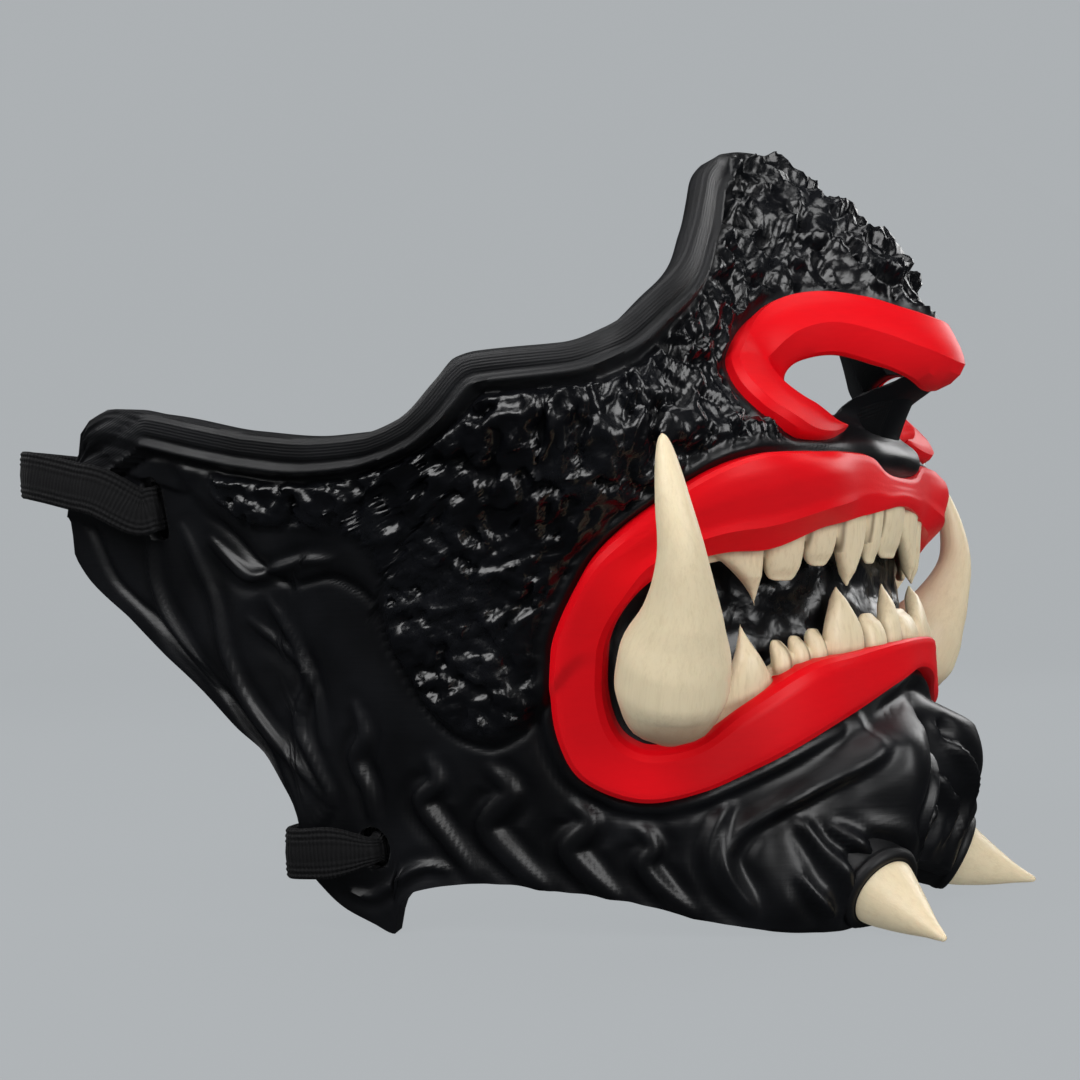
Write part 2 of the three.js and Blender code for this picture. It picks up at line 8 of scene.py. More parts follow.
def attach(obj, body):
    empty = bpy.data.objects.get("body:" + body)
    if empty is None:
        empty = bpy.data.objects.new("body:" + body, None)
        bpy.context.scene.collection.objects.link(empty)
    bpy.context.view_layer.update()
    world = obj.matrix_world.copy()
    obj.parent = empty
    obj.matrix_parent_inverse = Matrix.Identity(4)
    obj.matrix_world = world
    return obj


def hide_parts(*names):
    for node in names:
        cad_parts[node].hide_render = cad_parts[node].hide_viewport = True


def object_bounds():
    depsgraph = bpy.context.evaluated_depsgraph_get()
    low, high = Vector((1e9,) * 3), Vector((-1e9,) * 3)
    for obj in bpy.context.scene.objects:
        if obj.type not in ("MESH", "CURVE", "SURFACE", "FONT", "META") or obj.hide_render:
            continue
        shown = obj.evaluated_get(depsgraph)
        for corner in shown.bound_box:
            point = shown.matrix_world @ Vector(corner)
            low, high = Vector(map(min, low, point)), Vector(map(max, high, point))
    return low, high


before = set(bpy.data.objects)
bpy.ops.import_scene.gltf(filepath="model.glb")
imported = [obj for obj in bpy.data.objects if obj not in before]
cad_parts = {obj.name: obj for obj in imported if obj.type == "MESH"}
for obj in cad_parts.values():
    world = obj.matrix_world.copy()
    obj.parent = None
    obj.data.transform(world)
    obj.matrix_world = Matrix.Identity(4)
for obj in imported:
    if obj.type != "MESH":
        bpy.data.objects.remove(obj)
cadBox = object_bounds()
print("model loaded")

# the camera stands low on the mask's right, level with the mouth
camera = {
    "place": (-0.322297, -0.177640, 0.061668),
    "right": (0.505611, -0.862057, -0.034860),
    "up": (-0.023178, -0.053963, 0.998274),
    "back": (-0.862450, -0.503931, -0.047266),
    "lens": 53.333,
}
lens = bpy.data.cameras.new("camera")
lens.lens = camera["lens"]
lens.sensor_width = 36
lens.clip_start = 0.01
eye = bpy.data.objects.new("camera", lens)
bpy.context.scene.collection.objects.link(eye)
axes = Matrix((camera["right"], camera["up"], camera["back"])).transposed()
eye.matrix_world = Matrix.Translation(camera["place"]) @ axes.to_4x4()
bpy.context.scene.camera = eye
bpy.context.scene.view_settings.view_transform = "Standard"


# smooth curve through pairs, no overshoot
def curve(pairs):
    x = np.array([p[0] for p in pairs], float)
    y = np.array([p[1] for p in pairs], float)
    d = np.diff(y) / np.diff(x)
    m = np.zeros(len(x))
    rising = d[:-1] * d[1:] > 0
    m[1:-1][rising] = (2 * d[:-1] * d[1:] / np.where(rising, d[:-1] + d[1:], 1))[rising]

    def at(t):
        t = np.asarray(t, float)
        i = np.clip(np.searchsorted(x, t) - 1, 0, len(x) - 2)
        h = x[i + 1] - x[i]
        u = np.clip((t - x[i]) / h, 0, 1)
        v = 1 - u
        rise = v * v * (1 + 2 * u) * y[i] + u * u * (3 - 2 * u) * y[i + 1]
        return rise + h * u * v * (v * m[i] - u * m[i + 1])
    return at


def ramp(x, a, b):
    t = np.clip((x - a) / (b - a), 0, 1)
    return t * t * (3 - 2 * t)


def bell(dx, dy, rx, ry):
    return np.exp(-(dx / rx) ** 2 - (dy / ry) ** 2)


def unit(v):
    return v / np.maximum(np.linalg.norm(v, axis=-1, keepdims=True), 1e-9)


# the mask's form in mm: s runs from the nose, 0, round to the ear, 1, and z is height
form = {
    "shift": (0.0, -2.18307, -0.0469),
    "backY": 90, "wall": 3, "rimWidth": 7, "rimLift": 1.3, "cheekLift": 1.4, "mouthDepth": 8,
    "spikeS": 0.805, "earS": 0.998,
    "earSlot": (0.977, 86.2, 5.2, 13.2), "jawHole": (0.819, 16.9, 7.6, 8.6),
}
halfWidth = curve([(-5, 65), (0, 66), (25, 70), (50, 75), (80, 80), (110, 85), (125, 85), (165, 86)])
faceY = curve([(-5, -69), (0, -69.5), (12, -71), (30, -72), (50, -72), (75, -70), (86, -71.5), (93, -70),
               (98, -65), (104, -59), (110, -55), (122, -53), (135, -50), (165, -42)])
squareness = curve([(-5, 2.8), (55, 2.8), (70, 3.05), (80, 3.4), (88, 3.8), (96, 4.3), (104, 4.7), (112, 5),
                    (122, 5), (135, 4.2), (150, 3.2), (165, 3)])
frontBulge = curve([(-5, 2), (30, 3), (46, 2.5), (54, 1.8), (70, 0.4), (86, 0.2), (100, 0)])
ridgeY = curve([(86, -76.5), (88, -76), (93, -74.5), (97, -71.5), (100, -72), (103, -76), (106, -81.5),
                (108.5, -85), (111, -85.5), (119, -83.5), (132, -77), (143, -66.5), (152, -56.5),
                (158, -49), (165, -45)])
noseWidth = curve([(88, 26), (97, 32), (104, 36), (112, 37), (125, 31), (140, 25), (165, 16)])
topZ = curve([(0, 159.6), (0.05, 159.2), (0.09, 157.6), (0.113, 156.2), (0.18, 151.4), (0.238, 145.2),
              (0.329, 136), (0.409, 128.6), (0.529, 120.4), (0.643, 112.5), (0.707, 110.1), (0.801, 109.6),
              (0.82, 108.8), (0.838, 105), (0.868, 98.7), (0.891, 96.9), (0.912, 96.8), (0.953, 99.2),
              (0.985, 104.6), (0.9935, 106.6), (0.9962, 104.5), (0.998, 97)])
lowZ = curve([(0, 9), (0.09, 7), (0.18, 1.6), (0.263, 0.4), (0.368, 1.2), (0.492, 3.9), (0.589, 7.8),
              (0.652, 9.2), (0.719, 10.7), (0.755, 10.1), (0.786, 8.7), (0.799, 5.8), (0.805, 0.05),
              (0.822, 1.6), (0.841, 4), (0.859, 8.3), (0.8725, 14.3), (0.874, 20.4), (0.883, 28.5),
              (0.895, 36.6), (0.91, 41.7), (0.93, 49), (0.95, 56.3), (0.971, 63.8), (0.987, 70.4),
              (0.9955, 77.5), (0.998, 86)])
cheekZ = curve([(0.6, 54), (0.649, 46), (0.677, 40.4), (0.706, 38), (0.732, 39.6), (0.755, 44.5),
                (0.775, 54.2), (0.794, 63.8), (0.824, 69.6), (0.85, 71.5), (0.872, 70.5), (0.899, 74.5),
                (0.94, 82.8), (0.961, 87.2), (0.984, 97.7), (1, 102)])


# the plain form before any carving, symmetric in s
def basePoint(s, z):
    s, z = np.broadcast_arrays(np.asarray(s, float), np.asarray(z, float))
    a = np.minimum(np.abs(s), 1)
    square = squareness(z)
    turn = np.pi / 2 * a ** (1.25 + 0.34 * (square - 2.8))
    power = 2 / square
    x = halfWidth(z) * np.sin(turn) ** power
    y = form["backY"] - (form["backY"] - faceY(z)) * np.maximum(np.cos(turn), 0) ** power
    q = np.minimum(x / noseWidth(z), 1)
    y = y - np.maximum(faceY(z) - ridgeY(z), 0) * 0.5 * (1 + np.cos(np.pi * q)) * ramp(z, 86, 92)
    y = y - frontBulge(z) * np.exp(-(x / 15) ** 2)
    return np.stack([np.sign(s) * x, y, z], -1)


def normalAt(s, z):
    s, z = np.broadcast_arrays(np.asarray(s, float), np.asarray(z, float))
    du = basePoint(s + 0.012, z) - basePoint(s - 0.012, z)
    dv = basePoint(s, z + 1.2) - basePoint(s, z - 1.2)
    return unit(np.cross(du, dv))


# the height of the main forms over it: cheek, chin bosses, jaw
def carving(s, z):
    a = np.abs(s)
    x = basePoint(a, z)[..., 0]
    h = form["cheekLift"] * ramp(z - cheekZ(a), -1.5, 1.5) * ramp(a, 0.55, 0.66)
    under = 42 - 20 * a
    h = h + 10.3 * bell(x - 17, z - 29, 11, 17) * (1 - ramp(z, under - 4, under + 3))
    h = h + 6 * bell(x - 26, z - 9, 14, 9)
    h = h - 4.5 * bell(x, z - 22, 4.5, 18) * (z < 60)
    h = h + 1.6 * bell(a - 0.5, z - 18, 0.07, 14) - 1.4 * bell(a - 0.43, z - 14, 0.03, 12)
    h = h - 2.2 * bell(a - 0.86, z - 50, 0.03, 22) + 1.4 * bell(a - 0.9, z - 60, 0.018, 20)
    return h - 1.5 * bell(a - 0.3, z - 92, 0.12, 2.5)


def skin(s, z, lift=0.0):
    s, z = np.broadcast_arrays(np.asarray(s, float), np.asarray(z, float))
    return basePoint(s, z) + normalAt(s, z) * (carving(s, z) + lift)[..., None]


# points along a line through the given ones
def along(points, count, closed=False):
    p = np.array(points, float)
    n = len(p)
    t = np.linspace(0, n if closed else n - 1, count, endpoint=not closed)
    i = np.minimum(t.astype(int), n - 1 if closed else n - 2)
    u = (t - i)[:, None]
    pick = (lambda k: p[(i + k) % n]) if closed else (lambda k: p[np.clip(i + k, 0, n - 1)])
    a, b, c, d = pick(-1), pick(0), pick(1), pick(2)
    return 0.5 * (2 * b + (c - a) * u + (2 * a - 5 * b + 4 * c - d) * u ** 2
                  + (3 * b - a - 3 * c + d) * u ** 3)


# distance in mm from chart points to a drawn line, and the place along it
def toLine(s, z, line, closed=False):
    span = np.linalg.norm(basePoint(s + 0.004, z) - basePoint(s - 0.004, z), axis=-1) / 0.008
    best = np.full(s.shape, 1e9)
    where = np.zeros(s.shape)
    line = np.concatenate([line, line[:1]]) if closed else np.asarray(line)
    last = len(line) - 1
    for k in range(last):
        ax, az = (line[k, 0] - s) * span, line[k, 1] - z
        bx, bz = (line[k + 1, 0] - line[k, 0]) * span, line[k + 1, 1] - line[k, 1]
        t = np.clip(-(ax * bx + az * bz) / (bx * bx + bz * bz + 1e-9), 0, 1)
        d = (ax + t * bx) ** 2 + (az + t * bz) ** 2
        closer = d < best
        best = np.where(closer, d, best)
        where = np.where(closer, (k + t) / last, where)
    return np.sqrt(best), where


# which chart points lie inside a closed line
def within(s, z, line):
    inside = np.zeros(s.shape, bool)
    for (s0, z0), (s1, z1) in zip(line, np.roll(line, -1, axis=0)):
        crosses = (z0 > z) != (z1 > z)
        inside ^= crosses & (s < (s1 - s0) * (z - z0) / (z1 - z0 if z1 != z0 else 1e-9) + s0)
    return inside


# shader writing: a wire is a socket that takes part in sums
class Wire:
    def __init__(self, paint, out):
        self.paint, self.out = paint, out

    def __add__(self, other):
        return self.paint.sum("ADD", self, other)
    __radd__ = __add__

    def __sub__(self, other):
        return self.paint.sum("SUBTRACT", self, other)

    def __rsub__(self, other):
        return self.paint.sum("SUBTRACT", other, self)

    def __mul__(self, other):
        return self.paint.sum("MULTIPLY", self, other)
    __rmul__ = __mul__


class Paint:
    def __init__(self, name, **fixed):
        self.material = bpy.data.materials.new(name)
        self.material.use_nodes = True
        self.tree = self.material.node_tree
        self.base = next(n for n in self.tree.nodes if n.type == "BSDF_PRINCIPLED")
        for key, value in fixed.items():
            self.base.inputs[key.replace("_", " ")].default_value = value

    def put(self, socket, value):
        if isinstance(value, Wire):
            self.tree.links.new(value.out, socket)
        else:
            colour = isinstance(value, tuple) and socket.type == "RGBA"
            socket.default_value = (*value, 1) if colour else value

    def node(self, kind, settings=None, out=0, **inputs):
        made = self.tree.nodes.new("ShaderNode" + kind)
        for key, value in (settings or {}).items():
            setattr(made, key, value)
        for key, value in inputs.items():
            self.put(made.inputs[int(key[1:])] if key[0] == "_" else made.inputs[key], value)
        return Wire(self, made.outputs[out])

    def sum(self, kind, a, b):
        return self.node("Math", {"operation": kind}, _0=a, _1=b)

    def tint(self, factor, a, b):
        return self.node("Mix", {"data_type": "RGBA"}, out=2, _0=factor, _6=a, _7=b)

    def place(self, scale=(1, 1, 1), source="Object"):
        spot = self.node("TexCoord", out=["Generated", "Normal", "UV", "Object"].index(source))
        return self.node("Mapping", Vector=spot, Scale=scale)

    def cloud(self, spot, scale, detail=3, roughness=0.5):
        return self.node("TexNoise", Vector=spot, Scale=scale, Detail=detail, Roughness=roughness)

    def between(self, value, low, high):
        return self.node("MapRange", {"interpolation_type": "SMOOTHSTEP"}, _0=value, _1=low, _2=high)

    def attribute(self, name, out=2):
        return self.node("Attribute", {"attribute_name": name}, out=out)

    def bump(self, height, distance, strength=1.0, under=None):
        made = self.node("Bump", Height=height, Distance=distance, Strength=strength)
        if under:
            self.put(made.out.node.inputs["Normal"], under)
        return made

    def feed(self, **inputs):
        for key, value in inputs.items():
            self.put(self.base.inputs[key.replace("_", " ")], value)
        return self.material


# mesh making: points are in the mask's mm, meshes in metres
def grid(points, uv=False):
    rows, columns = points.shape[:2]
    bm = bmesh.new()
    bmesh.ops.create_grid(bm, x_segments=columns - 1, y_segments=rows - 1, size=1)
    flat = (points.reshape(-1, 3) + form["shift"]) * 0.001
    for v, p in zip(bm.verts, flat.tolist()):
        v.co = p
    if uv:
        step = np.linalg.norm(np.diff(points, axis=0), axis=-1).mean(axis=1)
        up = np.concatenate([[0], np.cumsum(step)])
        layer = bm.loops.layers.uv.new("UVMap")
        bm.verts.index_update()
        for face in bm.faces:
            for corner in face.loops:
                row, column = divmod(corner.vert.index, columns)
                corner[layer].uv = (column / (columns - 1), up[row] * 0.01)
    return bm


# closed body from rings of points; a loop when the last ring meets the first
def body(rings, uv=False):
    bm = grid(np.concatenate([rings, rings[:, :1]], axis=1), uv)
    bmesh.ops.remove_doubles(bm, verts=bm.verts, dist=2e-6)
    ends = [e for e in bm.edges if e.is_boundary]
    if ends:
        made = bmesh.ops.holes_fill(bm, edges=ends, sides=0)["faces"]
        bmesh.ops.poke(bm, faces=made)
    bmesh.ops.recalc_face_normals(bm, faces=bm.faces)
    return bm


def finishPiece(name, bm, material, node=None, sharp=None):
    mesh = bpy.data.meshes.new(name)
    if node:
        for v in bm.verts:      # stays inside the model's box
            v.co = [min(max(p, low + 2e-5), high - 2e-5) for p, low, high in zip(v.co, *cadBox)]
    bm.to_mesh(mesh)
    bm.free()
    for face in mesh.polygons:
        face.use_smooth = True
    if sharp:
        mesh.set_sharp_from_angle(angle=math.radians(sharp))
    made = bpy.data.objects.new(name, mesh)
    bpy.context.scene.collection.objects.link(made)
    if material:
        mesh.materials.append(material)
    if node:
        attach(made, "root")
        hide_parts(node)
    return made


# mesh with its modifiers applied
def settle(thing):
    graph = bpy.context.evaluated_depsgraph_get()
    mesh = bpy.data.meshes.new_from_object(thing.evaluated_get(graph))
    thing.modifiers.clear()
    old = thing.data
    thing.data = mesh
    bpy.data.meshes.remove(old)


def noiseAt(points, scale, seed):
    offset = Vector((seed, seed * 0.7, -seed))
    flat = np.asarray(points).reshape(-1, 3).tolist()
    return np.array([noise.noise(Vector(p) * scale + offset) for p in flat]).reshape(np.shape(points)[:-1])


# the black shell
shellLook = {
    "columns": 256, "rows": 164, "rowPower": 1.08,      # per half, up the face, and closer at the top
    "innerRows": 15, "sharp": 74,
    "bridgeSize": 6.6, "cheekSize": 4.6,    # spacing of the crumples, mm
    "bridgeDeep": 2.5, "cheekDeep": 1.75, "seed": 5,
    "ridgeHigh": 1.6, "foldHigh": 1.1,
    "mouthFill": 4.2,       # how much less deep the mouth is behind the front teeth
    "socketRadius": 11.6,
    "cutReach": 12, "nostrilReach": (14, 16), "nostrilAim": (286.0, 118, 42),
    "black": (0.0016, 0.0018, 0.0026), "worn": (0.0042, 0.0046, 0.0062),
}
lipOuter = [(0, 88), (0.06, 88.6), (0.117, 91.2), (0.225, 91), (0.34, 90.5), (0.45, 89.7), (0.53, 86.8),
            (0.583, 81), (0.609, 75.2), (0.622, 68), (0.631, 59), (0.641, 48), (0.639, 38.4), (0.619, 30.9),
            (0.562, 26.8), (0.488, 28.4), (0.399, 32.6), (0.282, 38.3), (0.17, 42.4), (0.08, 46), (0, 48.3)]
lipInner = [(0, 82), (0.06, 81), (0.11, 79.8), (0.19, 78), (0.27, 76.4), (0.367, 72.7), (0.44, 72.3),
            (0.492, 71), (0.534, 68.3), (0.559, 64), (0.575, 56.8), (0.584, 48), (0.578, 41), (0.56, 37.6),
            (0.532, 36.6), (0.481, 38.2), (0.421, 44), (0.313, 50.8), (0.2, 52.6), (0.1, 53.8), (0, 54.3)]
rollOuter = [(0, 118.6), (0.042, 120.4), (0.077, 122.8), (0.119, 123.7), (0.172, 121.8), (0.25, 116.6),
             (0.333, 109.8), (0.376, 103.6), (0.376, 97.7), (0.325, 94.1), (0.22, 93.2), (0.13, 94.6)]
rollInner = [(0, 105), (0.055, 107), (0.09, 109), (0.13, 111.3), (0.165, 110.5), (0.188, 108.4),
             (0.2, 105.8), (0.2, 103.2), (0.188, 101), (0.165, 100), (0.14, 99.6), (0.118, 99.8)]
# raised strokes: half width in mm, then places
ridges = [
    (1.9, [(0.818, 45.5), (0.815, 39.6), (0.825, 34.6), (0.819, 28.5), (0.818, 23.2)]),
    (2.3, [(0.762, 34.8), (0.759, 30.3), (0.774, 26.3), (0.753, 18.4), (0.732, 12)]),
    (2.9, [(0.708, 32.8), (0.694, 28.3), (0.718, 22), (0.694, 15), (0.666, 9.8)]),
    (2.9, [(0.63, 26.3), (0.619, 22.3), (0.641, 17.6), (0.619, 12.2), (0.591, 7.8)]),
    (2.4, [(0.564, 22), (0.55, 18.2), (0.561, 14.6), (0.537, 9.6), (0.501, 5)]),
    (2.8, [(0.455, 24.5), (0.476, 17.2), (0.458, 10.3), (0.417, 4.4)]),
    (1.8, [(0.342, 21.8), (0.315, 16.8), (0.279, 10.9), (0.275, 4)]),
    (1.3, [(0.356, 12.4), (0.328, 8), (0.299, 3.9)]),
    (1.5, [(0.296, 20.7), (0.259, 17.6), (0.217, 12.9)]),
    (1.3, [(0.1, 12.6), (0.118, 20), (0.093, 26.4), (0.055, 31.8), (0.03, 36.4)]),
    (1.2, [(0.062, 11.8), (0.075, 17.9), (0.042, 23), (0.02, 28)])]
folds = [
    (1.5, [(0.962, 82.2), (0.929, 69.2), (0.911, 59), (0.901, 47.9), (0.885, 38.4), (0.867, 31.7),
           (0.856, 26.6)]),
    (1.3, [(0.894, 63), (0.866, 55.3), (0.858, 49.4), (0.868, 41.8), (0.859, 33.4), (0.85, 26.6),
           (0.862, 20.6)]),
    (1.2, [(0.887, 67), (0.862, 56.9), (0.851, 46.9), (0.85, 36.8)]),
    (1.3, [(0.976, 82.7), (0.958, 68), (0.94, 59.2), (0.918, 49.6)]),
    (1.4, [(0.943, 79.2), (0.924, 74.9), (0.904, 71.7), (0.891, 72.3), (0.874, 74), (0.852, 73.7)]),
    (1.0, [(0.845, 9.2), (0.823, 7.3), (0.795, 11.8), (0.776, 13.8), (0.755, 12.8)])]
lobe = [(0.427, 7.6), (0.456, 14.2), (0.438, 20.2), (0.38, 24.5), (0.28, 29.6), (0.212, 34), (0.2, 40)]
bandLow = curve([(0, 41.6), (0.134, 42), (0.236, 40), (0.305, 35.7), (0.401, 29), (0.472, 24.5),
                 (0.55, 20)])      # lower edge of the band under the lip
rearGroove = [(0.994, 84), (0.979, 71.2), (0.944, 59.4), (0.908, 45.8), (0.885, 31.5), (0.876, 19.3)]
# lower edge of the crumpled skin
grainLow = curve([(0, 86), (0.5, 85), (0.585, 78), (0.61, 66), (0.63, 54), (0.649, 46), (0.677, 40.4),
                  (0.706, 38), (0.732, 39.6), (0.755, 44.5), (0.775, 54.2), (0.794, 64.6), (0.809, 70.2),
                  (0.839, 75.8), (0.889, 79), (0.92, 80), (0.945, 84), (0.961, 89.5), (0.975, 99)])
hornRoot, hornLean, hornTip = np.array([[-23.6, -71.4, 8.95], [-27, -79, 4.4], [-34, -89, 0.7]])


noise.seed_set(shellLook["seed"])      # noise_vector is moved at random otherwise


# a half outline with its mirrored half
def wholeRing(half):
    return list(half) + [(-s, z) for s, z in half[-2:0:-1]]


def topLine():
    a = np.linspace(0, form["earS"], 90)
    return np.stack([a, topZ(a)], -1)


# wormy crests with steep holes between them, about -1 to 1
def crumple(points, size, tall, seed):
    made = np.empty((len(points), 3))
    for i, p in enumerate(points.tolist()):
        q = Vector((p[0] / size + seed, p[1] / size, p[2] * tall / size))
        q += noise.noise_vector(q * 0.8) * 0.6
        made[i] = noise.noise(q), noise.noise(q * 1.2 + Vector((7, 1, 4))), noise.noise(q * 2.6)
    crest = np.exp(-(made[:, 0] * 5.4) ** 2)
    hole = ramp(made[:, 1], 0.03, 0.24)
    return 0.15 + 0.66 * crest - 1.0 * hole + 0.22 * made[:, 2]


# raised stroke, widest and highest in its middle, with hollows beside it
def stroke(a, z, line, wide, high, hollow):
    away, where = toLine(a, z, along(line, 22))
    fade = np.sin(np.pi * np.clip(where * 0.94 + 0.03, 0, 1)) ** 0.7
    w = wide * (0.4 + 0.6 * fade)
    beside = hollow * high * np.exp(-((away - w - 1.1) / 1.3) ** 2)
    return fade * (high * (1 - ramp(away / w, 0.35, 1.05)) - beside)


# raised rim along the top edge, with a bead and grooves; up is the distance from that edge
def addRim(h, up, rimPart):
    width = form["rimWidth"]
    h += form["rimLift"] * (1 - ramp(up, width - 1.3, width)) * rimPart
    h += rimPart * (0.6 * np.exp(-((up - 5.6) / 0.65) ** 2) - 0.5 * np.exp(-((up - 4.2) / 0.6) ** 2))
    h -= 0.8 * np.exp(-((up - 7.5) / 0.7) ** 2) * rimPart
    h -= 0.6 * (1 - ramp(up, 0, 1.1))


# the roll round the lips and the sunk, lumpy mouth; gives the distances out from one and into the other
def addMouth(h, s, z, a):
    outline = along(wholeRing(lipOuter), 120, True)
    opening = along(wholeRing(lipInner), 120, True)
    away, _ = toLine(s, z, outline, True)
    outside = ~within(s, z, outline)
    border = np.where(outside, away, 0)
    under = outside * (1 - (1 - ramp(a, 0.1, 0.24)) * ramp(z, 76, 84))
    h += 0.95 * np.exp(-((border - 1.6) / 1.1) ** 2) * under
    h -= 0.7 * np.exp(-((border - 3.8) / 1.1) ** 2) * under
    inside, _ = toLine(s, z, opening, True)
    inside = np.where(within(s, z, opening), inside, -inside)
    mouth = ramp(inside, -1.6, 1.0)
    h -= mouth * (form["mouthDepth"] - shellLook["mouthFill"] * (1 - ramp(a, 0.1, 0.34)))
    wet = np.stack([a * 120, z * 1.6, np.full(a.shape, 2.0)], -1)
    h += ramp(inside, 1.5, 4) * (1.5 * noiseAt(wet, 0.09, 33.0) + 0.6 * noiseAt(wet, 0.22, 35.0))
    return border, inside


# crumpled skin over the cheeks and the bridge of the nose; gives how much of it is where
def addCrumple(h, flatPoints, a, z, up, border, rimPart):
    look = shellLook
    clear = rimPart * form["rimWidth"]
    grain = ramp(z - grainLow(a), 0.6, 2.6) * ramp(up, clear + 0.4, clear + 1.7) * ramp(border, 1.8, 4.2)
    grain *= 1 - ramp(a, 0.958, 0.972)
    nose, _ = toLine(a, z, along(rollOuter, 40))
    ringSeat = within(a, z, np.array(rollOuter + [(0, rollOuter[-1][1])]))
    underNose = (1 - ramp(a, 0.24, 0.3)) * (1 - ramp(z, 112, 116))
    grain *= ~ringSeat * ramp(nose, 0.6, 2.4) * (1 - underNose)
    bridge = (1 - ramp(a, 0.22, 0.42)) * ramp(z, 100, 114)
    lower = 0.85 + 0.15 * ramp(z, 62, 92)
    deep = look["cheekDeep"] * lower * (1 - 0.3 * bell(a - 0.86, z - 76, 0.06, 9))
    deep = deep * (1 - bridge) + look["bridgeDeep"] * bridge
    use = grain > 0.01
    small = crumple(flatPoints[use], look["cheekSize"], 0.7, 3.0)
    fine = crumple(flatPoints[use], look["cheekSize"] * 0.55, 0.8, 6.0)
    big = crumple(flatPoints[use], look["bridgeSize"], 0.95, 9.0)
    low = 1 - ramp(z[use], 66, 94)
    mixed = (small * (1 - 0.35 * low) + fine * (0.14 + 0.3 * low)) * (1 - bridge[use])
    mixed += (big + 0.14 * fine) * bridge[use]
    mixed += 0.5 * noiseAt(flatPoints[use], 0.11, 21.0)
    h[use] += mixed * deep[use] * grain[use]
    h += 0.7 * grain * ramp(a, 0.6, 0.66)
    h += 1.2 * bell(a - 0.085, z - 92, 0.04, 4.5)
    h -= 0.8 * np.exp(-((z - cheekZ(a) + 1.2) / 0.8) ** 2) * ramp(a, 0.6, 0.66) * (1 - ramp(a, 0.93, 0.96))
    return grain


# folds of the smooth jaw and chin, and the ear tab's step
def addFolds(h, flatPoints, a, z, border):
    smooth = (1 - ramp(z - grainLow(a), -2.5, 1.0)) * ramp(border, 3, 9)
    arc = np.stack([a * 190, z * 0.32, np.full(a.shape, 4.0)], -1)
    h += smooth * (0.8 * noiseAt(arc, 0.075, 2.0) + 0.45 * noiseAt(arc, 0.17, 7.0)) * ramp(a, 0.3, 0.5)
    chin = (1 - ramp(a, 0.4, 0.5)) * (1 - ramp(z - bandLow(a), -2.4, 1.0))
    h += 0.9 * chin * ramp(border, 2, 5)
    lumps = noiseAt(flatPoints * (1, 1, 0.6), 0.13, 5.0)
    h += smooth * chin * (0.7 * lumps + 0.2 * noiseAt(flatPoints * (1, 1, 0.5), 0.3, 15.0))
    for wide, places in ridges:
        h += stroke(a, z, places, wide, shellLook["ridgeHigh"], 0.55)
    for wide, places in folds:
        h += stroke(a, z, places, wide, shellLook["foldHigh"], 0.5)
    away, where = toLine(a, z, along(lobe, 30))
    fade = np.clip(np.sin(np.pi * (where * 0.94 + 0.03)), 0, 1) ** 0.5
    h += fade * (1.7 * np.exp(-(away / 1.3) ** 2) - 0.9 * np.exp(-((away - 3.2) / 1.2) ** 2))
    h += 1.1 * (np.exp(-((np.hypot((a - 0.035) / 0.024, (z - 18.5) / 6.5) - 1) / 0.3) ** 2))
    h -= 2.2 * bell(a - 0.052, z - 34.5, 0.012, 2.6)
    away, _ = toLine(a, z, along(rearGroove, 30))
    h -= 0.95 * np.exp(-(away / 0.95) ** 2)
    tab = curve([(0.9, 88), (0.969, 88.7), (0.976, 89.9), (0.989, 93), (0.997, 100)])
    h += 1.0 * ramp(z - tab(a), -0.3, 0.9) * ramp(a, 0.964, 0.974)


# raised sockets round the chin horns
def addSockets(h, s, z, flatPoints):
    p = flatPoints + normalAt(s, z) * h[..., None]
    axis = unit(hornTip - hornRoot)
    rel = p * np.stack([-np.sign(s + 1e-9), np.ones(s.shape), np.ones(s.shape)], -1) - hornRoot
    t = rel @ axis
    radial = np.linalg.norm(rel - t[..., None] * axis, axis=-1)
    ring = shellLook["socketRadius"]
    roll = 0.9 * np.exp(-((radial - ring) / 2.0) ** 2)
    h += ramp(t, -10, -3) * (roll - 1.0 * (1 - ramp(radial, 7, 11.5)))


# the outside of the shell, and what its plastic reads: the grain and the distance from the top edge
def shellSurface(s, z):
    a = np.abs(s)
    h = carving(s, z)
    flatPoints = basePoint(s, z)
    up, _ = toLine(a, z, topLine())
    rimPart = ramp(a, 0.06, 0.14)
    addRim(h, up, rimPart)
    border, inside = addMouth(h, s, z, a)
    grain = addCrumple(h, flatPoints, a, z, up, border, rimPart)
    addFolds(h, flatPoints, a, z, border)
    addSockets(h, s, z, flatPoints)
    p = flatPoints + normalAt(s, z) * h[..., None]
    return p, np.clip(grain + 0.8 * ramp(inside, 1.5, 4), 0, 1), np.minimum(up + 9 * (1 - rimPart), 9)


# where the wall steps in behind the sunk mouth
def mouthField(a, z):
    middle = curve([(0, 68), (0.4, 61), (0.6, 49)])(a)
    half = curve([(0, 20), (0.4, 19), (0.58, 21), (0.66, 17)])(a)
    return (1 - ramp(np.abs(z - middle), half, half + 8)) * (1 - ramp(a, 0.65, 0.74))


def innerSurface(s, z):
    a = np.abs(s)
    deep = np.minimum(0.35 * carving(s, z), 0.6) - form["wall"] - form["mouthDepth"] * mouthField(a, z)
    return basePoint(s, z) + normalAt(s, z) * deep[..., None]


# places of the columns, closer towards the ear, one on the jaw spike
def columnPlaces(half):
    spread = curve([(0, 0), (0.31, 0.42), (0.55, 0.72), (0.78, 0.9), (0.96, 0.988), (1, form["earS"])])
    a = spread(np.linspace(0, 1, half + 1))
    a[np.argmin(np.abs(a - form["spikeS"]))] = form["spikeS"]
    return np.concatenate([-a[:0:-1], a])


